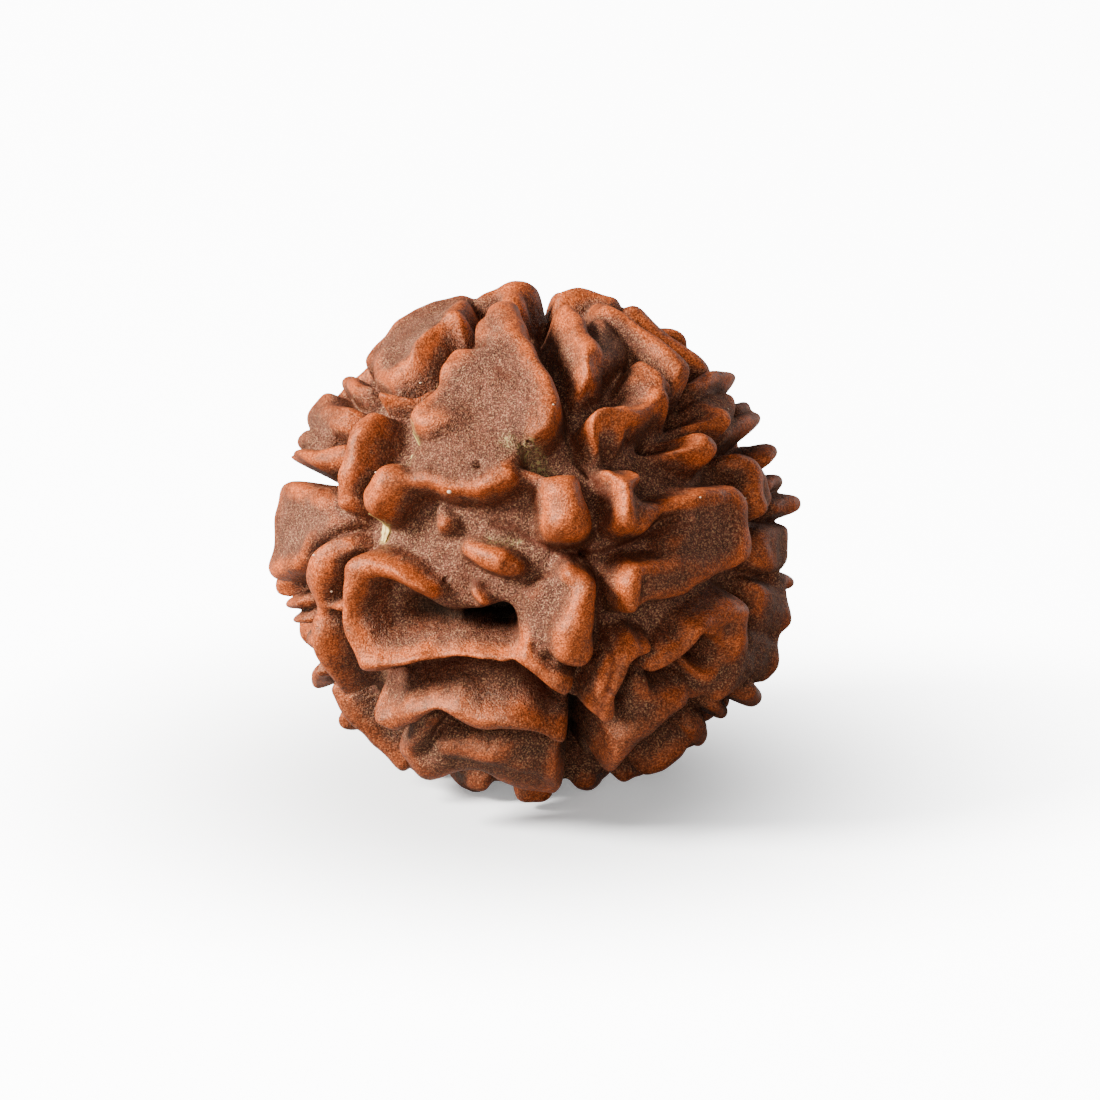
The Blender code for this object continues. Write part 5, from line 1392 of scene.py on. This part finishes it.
@dataclass(frozen=True)
class ShellFinish:
    """The bead's own surface: satin crests, dusty floors and dark flanks, with painted shade in narrow
    valleys, under ledges, in the deepest hollows and towards the bottom.

    Colours come first, then the sizes of the noises, and then how much of each layer shows. A share
    multiplies the layer's mask, a level is a value of a noise, and reaches are in metres.
    """

    body: Colour = (0.09, 0.0195, 0.0078, 1.0)
    crest: Colour = (0.275, 0.05, 0.0085, 1.0)
    dust: Colour = (0.096, 0.031, 0.019, 1.0)
    flank: Colour = (0.045, 0.0058, 0.0014, 1.0)
    # Painted shade towards the bottom, where less light reaches
    lower_shade_colour: Colour = (0.04, 0.0125, 0.0075, 1.0)
    # Near-black painted shade for the deepest hollows and holes
    hole: Colour = (0.0012, 0.0005, 0.0003, 1.0)
    fibre: Colour = (0.3, 0.19, 0.05, 1.0)
    residue: Colour = (0.3, 0.24, 0.085, 1.0)
    pulp: Colour = (0.17, 0.085, 0.042, 1.0)
    speck: Colour = (0.38, 0.23, 0.11, 1.0)
    pit: Colour = (0.03, 0.005, 0.003, 1.0)
    tint: Colour = (1.0, 0.72, 0.5, 1.0)
    roughness: float = 0.42
    dust_roughness: float = 0.78
    grain_roughness: float = 0.08
    specular: float = 0.28
    fineness: float = 15000.0
    coarse: float = 0.4
    small_patches: Mottle = (900.0, 0.38, 0.66)
    wide_patches: Mottle = (260.0, 0.36, 0.64)
    crumbs: Mottle = (6500.0, 0.53, 0.6)
    dents: Mottle = (1500.0, 0.3, 0.7)
    small_share: float = 0.4
    wide_share: float = 0.45
    least_dust: float = 0.3
    hollow_dust: float = 0.2
    crest_share: float = 0.55
    crest_unevenness: float = 0.35
    flank_share: float = 0.6
    narrow_shade_share: float = 0.45
    pulp_share: float = 0.7
    lower_shade_share: float = 0.5
    shade_levels: Span = (0.5, 1.0)
    shade_share: float = 1.45
    shade_floor: float = 0.36
    patch_tone: float = 0.3
    patch_floor: float = 0.85
    dust_specks: float = 0.38
    least_specks: float = 0.18
    pit_spacing: float = 620.0
    pit_edge: Span = (0.05, 0.13)
    pit_choice: Span = (0.62, 0.66)
    pit_share: float = 0.7
    pit_depth: float = 1.5
    fleck_spacing: float = 520.0
    fleck_edge: Span = (0.02, 0.055)
    fleck_choice: Span = (0.66, 0.7)
    crumb_share: float = 0.7
    dent_depth: float = 0.8
    crest_wear: float = 0.5
    bump_strength: float = 0.9
    bump_reach: float = 0.00011

    def build_spots(
        self, pen: NodePen, place: object, spacing: float, edge: Span, choice: Span
    ) -> bpy.types.NodeSocket:
        """Add scattered round spots.

        Args:
            pen: the pen for the material's tree.
            place: the socket that gives a point's place.
            spacing: scale of the cells that hold a spot each.
            edge: distances from a cell's middle between which its spot fades out.
            choice: levels of the cell's random value between which its spot fades in.

        Returns:
            The spots' mask.
        """
        cells = pen.add("TexVoronoi", Vector=place, Scale=spacing)
        spot = pen.math("SUBTRACT", 1.0, pen.steps(cells.outputs["Distance"], *edge))
        return pen.math("MULTIPLY", spot, pen.steps(cells.outputs["Color"], *choice))

    def build(self, groups: SharedGroups) -> bpy.types.Material:
        """Build the material.

        Args:
            groups: the shared shader node groups.

        Returns:
            The material.
        """
        material = bpy.data.materials.new("bead_shell_worn")
        material.use_nodes = True
        pen = NodePen(material.node_tree)
        surface = material.node_tree.nodes["Principled BSDF"]
        place = pen.object_place()
        grain = groups.place_grain(pen, place, self.fineness, self.coarse)
        patches = groups.place_mottle(pen, place, self.small_patches)
        wide_patches = groups.place_mottle(pen, place, self.wide_patches)
        masks = {mask: pen.attribute(mask.value) for mask in Mask}
        crest, flank, stain = masks[Mask.CREST], masks[Mask.FLANK], masks[Mask.STAIN]

        dusty = pen.math("SUBTRACT", 1.0, crest, clamp=True)
        dusty = pen.math("MULTIPLY", dusty, pen.math("SUBTRACT", 1.0, flank, clamp=True))
        uneven = pen.math("MULTIPLY", patches, self.small_share)
        uneven = pen.math("ADD", uneven, pen.math("MULTIPLY", wide_patches, self.wide_share))
        dusty = pen.math("MULTIPLY", dusty, pen.math("ADD", uneven, self.least_dust, clamp=True))
        settled = pen.math("MULTIPLY", masks[Mask.HOLLOW], self.hollow_dust)
        dusty = pen.math("ADD", dusty, settled, clamp=True)

        colour = pen.blend(dusty, self.body, self.dust)
        warm = pen.math("ADD", pen.math("MULTIPLY", patches, self.crest_unevenness), self.crest_share)
        colour = pen.blend(pen.math("MULTIPLY", crest, warm), colour, self.crest)
        for mask, share, shown in (
            (flank, self.flank_share, self.flank),
            # Painted shade in deep narrow valleys, in the dark flank colour
            (masks[Mask.NARROW_SHADE], self.narrow_shade_share, self.flank),
            (stain, self.pulp_share, self.pulp),
            # Painted shade, darker towards the bottom
            (masks[Mask.LOW], self.lower_shade_share, self.lower_shade_colour),
        ):
            colour = pen.blend(pen.math("MULTIPLY", mask, share), colour, shown)
        shade = pen.steps(grain.outputs["Height"], *self.shade_levels)
        tone = pen.math("ADD", pen.math("MULTIPLY", shade, self.shade_share), self.shade_floor)
        patch = pen.math("ADD", pen.math("MULTIPLY", patches, self.patch_tone), self.patch_floor)
        colour = pen.blend(1.0, colour, pen.math("MULTIPLY", tone, patch), "MULTIPLY")
        speckle = pen.math("ADD", pen.math("MULTIPLY", dusty, self.dust_specks), self.least_specks)
        speckle = pen.math("MULTIPLY", grain.outputs["Speckle"], speckle)
        colour = pen.blend(speckle, colour, self.speck)
        pit = self.build_spots(pen, place, self.pit_spacing, self.pit_edge, self.pit_choice)
        colour = pen.blend(pen.math("MULTIPLY", pit, self.pit_share), colour, self.pit)
        fleck = self.build_spots(pen, place, self.fleck_spacing, self.fleck_edge, self.fleck_choice)
        colour = pen.blend(fleck, colour, self.speck)
        colour = pen.blend(masks[Mask.FIBRE], colour, self.fibre)
        crumbs = pen.math("MULTIPLY", groups.place_mottle(pen, place, self.crumbs), stain)
        colour = pen.blend(pen.math("MULTIPLY", crumbs, self.crumb_share), colour, self.residue)
        # Dark seams and cracks, and painted shade under the ledges
        colour = pen.blend(masks[Mask.CRACK_AND_SHADE], colour, self.flank)
        # The deepest parts are painted near black as shade
        colour = pen.blend(masks[Mask.DEPTH], colour, self.hole)

        rough = pen.math("MULTIPLY", dusty, self.dust_roughness - self.roughness)
        rough = pen.math("ADD", rough, self.roughness)
        rough = pen.math("ADD", rough, pen.math("MULTIPLY", shade, self.grain_roughness), clamp=True)
        pen.feed(surface.inputs["Base Color"], colour)
        pen.feed(surface.inputs["Roughness"], rough)
        surface.inputs["Specular IOR Level"].default_value = self.specular
        surface.inputs["Specular Tint"].default_value = self.tint
        height = pen.math("SUBTRACT", grain.outputs["Height"], pen.math("MULTIPLY", pit, self.pit_depth))
        dents = groups.place_mottle(pen, place, self.dents)
        height = pen.math("ADD", height, pen.math("MULTIPLY", dents, self.dent_depth))
        worn = pen.math("SUBTRACT", 1.0, pen.math("MULTIPLY", crest, self.crest_wear))
        height = pen.math("MULTIPLY", height, worn)
        bump = pen.add("Bump", Height=height, Strength=self.bump_strength, Distance=self.bump_reach)
        pen.feed(surface.inputs["Normal"], bump.outputs["Normal"])
        return material


@dataclass(frozen=True)
class FibreFinish:
    """Pale dry fibre that is left in a crack."""

    colour: Colour = (0.6, 0.45, 0.14, 1.0)
    stain: Colour = (0.36, 0.19, 0.05, 1.0)
    stain_patches: Mottle = (3000.0, 0.48, 0.62)
    stain_share: float = 0.6
    roughness: float = 0.7
    fineness: float = 12000.0
    coarse: float = 0.3
    bump_strength: float = 0.5
    bump_reach: float = 0.00003

    def build(self, groups: SharedGroups) -> bpy.types.Material:
        """Build the material.

        Args:
            groups: the shared shader node groups.

        Returns:
            The material.
        """
        material = bpy.data.materials.new("dry_fibre")
        material.use_nodes = True
        pen = NodePen(material.node_tree)
        surface = material.node_tree.nodes["Principled BSDF"]
        place = pen.object_place()
        grain = groups.place_grain(pen, place, self.fineness, self.coarse)
        stain = groups.place_mottle(pen, place, self.stain_patches)
        colour = pen.blend(pen.math("MULTIPLY", stain, self.stain_share), self.colour, self.stain)
        pen.feed(surface.inputs["Base Color"], colour)
        surface.inputs["Roughness"].default_value = self.roughness
        height = grain.outputs["Height"]
        bump = pen.add("Bump", Height=height, Strength=self.bump_strength, Distance=self.bump_reach)
        pen.feed(surface.inputs["Normal"], bump.outputs["Normal"])
        return material


@dataclass(frozen=True)
class TableFinish:
    """A plain pale table top, whose glow is dimmer near the bead as a painted shadow."""

    colour: Colour = (0.9, 0.9, 0.9, 1.0)
    bounce: Colour = (0.22, 0.21, 0.2, 1.0)
    glow: float = 9.0
    glow_in_painted_shadow: float = 0.25
    painted_shadow_reach: Span = (0.005, 0.03)
    glow_colour: Colour = (1.0, 1.0, 1.0, 1.0)
    roughness: float = 0.7
    specular: float = 0.1
    fineness: float = 400.0
    detail: float = 3.0
    bump_strength: float = 0.05
    bump_reach: float = 0.0001

    def build(self) -> bpy.types.Material:
        """Build the material, whose glow is seen by the camera alone and grows away from the bead, which
        paints a shadow around it.

        Returns:
            The material.
        """
        material = bpy.data.materials.new("pale_table")
        material.use_nodes = True
        pen = NodePen(material.node_tree)
        surface = material.node_tree.nodes["Principled BSDF"]
        place = pen.object_place()
        texture = pen.add("TexNoise", Vector=place, Scale=self.fineness)
        texture.inputs["Detail"].default_value = self.detail
        reach = pen.add("VectorMath", {"operation": "LENGTH"})
        pen.feed(reach.inputs[0], place)
        # Painted shadow: the camera's glow is dimmer near the bead
        away = pen.steps(reach.outputs["Value"], *self.painted_shadow_reach)
        glow = pen.math("ADD", pen.math("MULTIPLY", away, self.glow), self.glow_in_painted_shadow)
        direct = pen.add("LightPath").outputs["Is Camera Ray"]
        pen.feed(surface.inputs["Base Color"], pen.blend(direct, self.bounce, self.colour))
        surface.inputs["Roughness"].default_value = self.roughness
        surface.inputs["Specular IOR Level"].default_value = self.specular
        surface.inputs["Emission Color"].default_value = self.glow_colour
        pen.feed(surface.inputs["Emission Strength"], pen.math("MULTIPLY", direct, glow))
        height = texture.outputs["Fac"]
        bump = pen.add("Bump", Height=height, Strength=self.bump_strength, Distance=self.bump_reach)
        pen.feed(surface.inputs["Normal"], bump.outputs["Normal"])
        return material


@dataclass(frozen=True)
class Wear:
    """Where each mask of the bead fades in and out, in millimetres of height, radius or distance."""

    crest_rise: Span = (0.08, 0.36)
    crest_radius: Span = (8.9, 9.6)
    broad_rise: Span = (0.25, 0.8)
    broad_share: float = 0.35
    hollow_fall: Span = (0.25, 0.9)
    hollow_radius: Span = (7.6, 8.6)
    narrow_shade_fall: Span = (0.9, 1.7)
    flank_slope: Span = (-0.72, -0.3)
    flank_fall: Span = (-0.2, 0.15)
    deep_shade_radius: Span = (-8.35, -7.5)
    lower_shade_fall: Span = (0.5, 6.5)
    seam_width: float = 0.09
    crack_and_shade_share: float = 0.75
    crack_edge: Span = (0.15, 0.0)
    ledge_shade_edge: Span = (0.4, -0.15)
    fibre_edge: Span = (0.1, -0.02)
    stain_edge: Span = (0.3, -0.2)


@dataclass
class Bead:
    """The bead itself."""

    finish: ShellFinish = field(default_factory=ShellFinish)
    relief: Relief = field(default_factory=Relief)
    wear: Wear = field(default_factory=Wear)
    triangles: int = 185000
    crest_passes: int = 70
    broad_passes: int = 420
    shift: Vector = field(default_factory=Vector)

    def build(self, groups: SharedGroups) -> bpy.types.Object:
        """Make the bead's fine mesh in its place and dress it.

        Args:
            groups: the shared shader node groups.

        Returns:
            The bead's object.
        """
        deselect_all()
        bpy.ops.mesh.primitive_ico_sphere_add(subdivisions=SPHERE_STEPS, radius=1.0)
        bead = bpy.context.object
        bead.name = "rudraksha_bead"
        rays = unit_rows(read_points(bead.data))
        radius = self.relief.radius(rays @ view_frame().T)
        write_points(bead.data, rays * radius[:, None])
        apply_modifier(bead, "SMOOTH", factor=SOFTEN_FACTOR, iterations=SOFTEN_STEPS)
        press_flats(bead.data)
        masks = self.measure_masks(bead.data, rays)
        tree = KDTree(len(rays))
        for index, point in enumerate(read_points(bead.data)):
            tree.insert(point, index)
        tree.balance()
        apply_modifier(bead, "DECIMATE", ratio=self.triangles / len(bead.data.polygons))
        press_flats(bead.data)
        points = read_points(bead.data)
        sources = np.array([tree.find(point)[1] for point in points])
        for mask, values in masks.items():
            layer = bead.data.attributes.new(mask.value, "FLOAT", "POINT")
            layer.data.foreach_set("value", values[sources].astype(np.float32))
        self.set_in_place(bead.data)
        shade_smooth(bead)
        bead.data.materials.append(self.finish.build(groups))
        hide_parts("bead")
        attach(bead, "root")
        return bead

    def measure_masks(self, mesh: bpy.types.Mesh, rays: np.ndarray) -> dict[Mask, np.ndarray]:
        """Work out the values that the material reads.

        Args:
            mesh: the bead's even mesh, in millimetres from its middle.
            rays: unit directions of its points in the bead's own frame, one a row.

        Returns:
            One value for each point, by mask.
        """
        wear = self.wear
        points = read_points(mesh)
        radius = np.linalg.norm(points, axis=1)
        edges = np.empty(len(mesh.edges) * 2, dtype=np.int64)
        mesh.edges.foreach_get("vertices", edges)
        spreader = MeshField(edges.reshape(-1, 2), len(points))
        fine = radius - spreader.spread(radius, self.crest_passes)
        broad = radius - spreader.spread(radius, self.broad_passes)
        normals = np.empty(len(points) * 3)
        mesh.vertex_normals.foreach_get("vector", normals)
        facing = (normals.reshape(-1, 3) * rays).sum(axis=1)
        sight = rays @ view_frame().T
        crack = np.zeros(len(points))
        for _, path in SEAMS.values():
            near = rays_near(sight, path)
            outside, _, _ = distance_to_path(sight[near], path)
            crack[near] = np.maximum(crack[near], np.exp(-(outside / wear.seam_width) ** 2))
        crack = np.maximum(crack, self.painted(sight, FINE_CRACKS, wear.crack_edge))
        # Painted shade under the ledges joins the cracks' mask
        crack = np.maximum(crack, self.painted(sight, LEDGE_SHADE, wear.ledge_shade_edge))
        crests = ramp(fine, *wear.crest_rise) * ramp(radius, *wear.crest_radius)
        return {
            Mask.NARROW_SHADE: ramp(-broad, *wear.narrow_shade_fall),
            Mask.STAIN: self.painted(sight, STAINS, wear.stain_edge),
            Mask.LOW: ramp(-points[:, 2], *wear.lower_shade_fall),
            Mask.CREST: crests + wear.broad_share * ramp(broad, *wear.broad_rise),
            Mask.HOLLOW: ramp(-broad, *wear.hollow_fall) * ramp(radius, *wear.hollow_radius),
            Mask.FLANK: ramp(-facing, *wear.flank_slope) * ramp(-fine, *wear.flank_fall),
            Mask.DEPTH: ramp(-radius, *wear.deep_shade_radius),
            Mask.CRACK_AND_SHADE: crack * wear.crack_and_shade_share,
            Mask.FIBRE: self.painted(sight, FIBRES, wear.fibre_edge),
        }

    def painted(self, sight: np.ndarray, paths: dict[str, tuple[Point, ...]], edge: Span) -> np.ndarray:
        """Work out where paths lie on the bead.

        Args:
            sight: unit directions in the view frame, one a row.
            paths: the paths by name.
            edge: distances past a path's half width at which the mark is gone and at which it is full.

        Returns:
            How strongly each direction is marked.
        """
        mark = np.zeros(len(sight))
        for path in paths.values():
            near = rays_near(sight, path)
            outside, _, _ = distance_to_path(sight[near], path)
            mark[near] = np.maximum(mark[near], ramp(outside, *edge))
        return mark

    def set_in_place(self, mesh: bpy.types.Mesh) -> None:
        """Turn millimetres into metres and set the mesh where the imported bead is.

        Args:
            mesh: the bead's mesh, in millimetres from its middle.
        """
        points = read_points(mesh) * METRES_PER_MM
        lowest, highest = (np.array(corner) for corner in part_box("bead"))
        middle = (lowest + highest) / 2.0
        own_middle = (points.min(axis=0) + points.max(axis=0)) / 2.0
        shift = middle - own_middle
        shift[2] = lowest[2] - points[:, 2].min()
        self.shift = Vector(shift)
        write_points(mesh, points + shift)


@dataclass
class FissureFibres:
    """Pale fibres that show in the cracks between the ridges."""

    finish: FibreFinish = field(default_factory=FibreFinish)
    lift: float = 0.06
    strands: int = 6
    steps: int = 14
    spread: float = 0.8
    crook: float = 0.25
    thickness: float = 0.05
    seed: int = 23

    def build(self, groups: SharedGroups, bead: Bead) -> list[bpy.types.Object]:
        """Make each strip of fibres on the bead's surface.

        Args:
            groups: the shared shader node groups.
            bead: the finished bead, whose relief carries them.

        Returns:
            The strips' objects.
        """
        material = self.finish.build(groups)
        made = []
        random = np.random.default_rng(self.seed)
        for name, path in FIBRES.items():
            strip = self.build_strip(name, path, random, bead)
            strip.data.materials.append(material)
            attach(strip, "root")
            made.append(strip)
        return made

    def build_strip(
        self, name: str, path: tuple[Point, ...], random: np.random.Generator, bead: Bead
    ) -> bpy.types.Object:
        """Make one strip as a few thin crooked strands that lie side by side.

        Args:
            name: the strip's name.
            path: the strip's path with its half widths.
            random: the source of the strands' crooks.
            bead: the finished bead, whose relief carries the strip.

        Returns:
            The strip's object.
        """
        strands = []
        for _ in range(self.strands):
            side = random.uniform(-self.spread, self.spread)
            steps = np.linspace(0.0, 1.0, self.steps)
            rays = walk_path(path, steps)
            halves = np.interp(steps, np.linspace(0.0, 1.0, len(path)), [point.half for point in path])
            along = np.gradient(rays, axis=0)
            across = unit_rows(np.cross(rays, along))
            crook = random.normal(size=len(steps)) * self.crook + side
            rays = unit_rows(rays + across * (crook * halves / WIDTH_RADIUS)[:, None])
            radius = bead.relief.radius(rays) + self.lift
            places = rays * radius[:, None] @ view_frame() * METRES_PER_MM + np.array(bead.shift)
            strands.append(places)
        return tube_object(name, strands, self.thickness * METRES_PER_MM)


@dataclass
class PaleGrains:
    """Small pale grains that stick to the bead here and there."""

    colour: Colour = (0.5, 0.36, 0.24, 1.0)
    sunk: float = 0.55
    steps: int = 2
    squash: tuple[float, float, float] = (1.0, 0.7, 0.8)
    roughness: float = 0.6
    fineness: float = 12000.0
    coarse: float = 0.3
    bump_strength: float = 0.4
    bump_reach: float = 0.00002

    def build(self, groups: SharedGroups, bead: Bead) -> bpy.types.Object:
        """Make every grain as a flattened lump, joined into one object.

        Args:
            groups: the shared shader node groups.
            bead: the finished bead, whose relief carries them.

        Returns:
            The grains' object.
        """
        deselect_all()
        lumps = []
        for point in GRAINS:
            ray = unit_rows(np.array([point.direction]))
            radius = bead.relief.radius(ray)[0] - self.sunk * point.half
            place = (ray[0] * radius) @ view_frame() * METRES_PER_MM + np.array(bead.shift)
            bpy.ops.mesh.primitive_ico_sphere_add(
                subdivisions=self.steps, radius=point.half * METRES_PER_MM, location=place, scale=self.squash
            )
            bpy.ops.object.transform_apply(location=True, rotation=True, scale=True)
            lumps.append(bpy.context.object)
        deselect_all()
        for lump in lumps:
            lump.select_set(True)
        bpy.context.view_layer.objects.active = lumps[0]
        bpy.ops.object.join()
        grains = bpy.context.object
        grains.name = "pale_grains"
        shade_smooth(grains)
        grains.data.materials.append(self.build_material(groups))
        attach(grains, "root")
        return grains

    def build_material(self, groups: SharedGroups) -> bpy.types.Material:
        """Build the grains' dry pale material.

        Args:
            groups: the shared shader node groups.

        Returns:
            The material.
        """
        material = bpy.data.materials.new("pale_grain")
        material.use_nodes = True
        pen = NodePen(material.node_tree)
        surface = material.node_tree.nodes["Principled BSDF"]
        surface.inputs["Base Color"].default_value = self.colour
        surface.inputs["Roughness"].default_value = self.roughness
        grain = groups.place_grain(pen, pen.object_place(), self.fineness, self.coarse)
        height = grain.outputs["Height"]
        bump = pen.add("Bump", Height=height, Strength=self.bump_strength, Distance=self.bump_reach)
        pen.feed(surface.inputs["Normal"], bump.outputs["Normal"])
        return material


class Studio:
    """The table, the lights and the camera."""

    def __init__(self, middle: Vector) -> None:
        """Keep the bead's middle, which the lights and the camera face."""
        self.middle = middle

    def build_table(self) -> bpy.types.Object:
        """Make a wide pale table top under the bead.

        Returns:
            The table's object.
        """
        deselect_all()
        bpy.ops.mesh.primitive_plane_add(size=TABLE_SIZE)
        table = bpy.context.object
        table.name = "table_top"
        table.data.materials.append(TableFinish().build())
        return table

    def build_lights(self) -> None:
        """Add the soft light from the upper left, two weak fills, and the pale room."""
        for name, way, distance, size, power, tint in LIGHTS:
            deselect_all()
            bpy.ops.object.light_add(type="AREA")
            light = bpy.context.object
            light.name = name
            light.data.shape = "DISK"
            light.data.size = size
            light.data.energy = power
            light.data.color = tint
            place = Vector(way).normalized() * distance
            light.location = self.middle + place
            light.rotation_euler = place.to_track_quat("Z", "Y").to_euler()
        world = bpy.data.worlds.new("pale_room")
        world.use_nodes = True
        backdrop = world.node_tree.nodes["Background"]
        backdrop.inputs["Color"].default_value = ROOM_COLOUR
        backdrop.inputs["Strength"].default_value = ROOM_STRENGTH
        bpy.context.scene.world = world

    def build_camera(self) -> bpy.types.Object:
        """Add a long lens that looks down on the bead as the photo does.

        Returns:
            The camera's object.
        """
        right, up, forward = (Vector(row) for row in view_frame())
        aim = self.middle + (right * PHOTO_RIGHT + up * PHOTO_UP) * METRES_PER_MM
        deselect_all()
        bpy.ops.object.camera_add(location=aim + forward * CAMERA_DISTANCE)
        camera = bpy.context.object
        camera.name = "long_lens"
        camera.rotation_euler = forward.to_track_quat("Z", "Y").to_euler()
        camera.data.lens = camera.data.sensor_width * CAMERA_DISTANCE / (PHOTO_SPAN * METRES_PER_MM)
        camera.data.clip_end = CAMERA_REACH
        bpy.context.scene.camera = camera
        return camera


def main() -> None:
    """Build the bead, what lies on it, and the studio around it."""
    logging.basicConfig(level=logging.INFO, format="%(message)s")
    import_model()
    groups = SharedGroups()
    bead = Bead()
    piece = bead.build(groups)
    LOG.info("%s: %d triangles", piece.name, len(piece.data.polygons))
    for strip in FissureFibres().build(groups, bead):
        LOG.info("%s: %d faces", strip.name, len(strip.data.polygons))
    grains = PaleGrains().build(groups, bead)
    LOG.info("%s: %d faces", grains.name, len(grains.data.polygons))
    studio = Studio(bead.shift)
    studio.build_table()
    studio.build_lights()
    studio.build_camera()


if __name__ == "__main__":
    main()
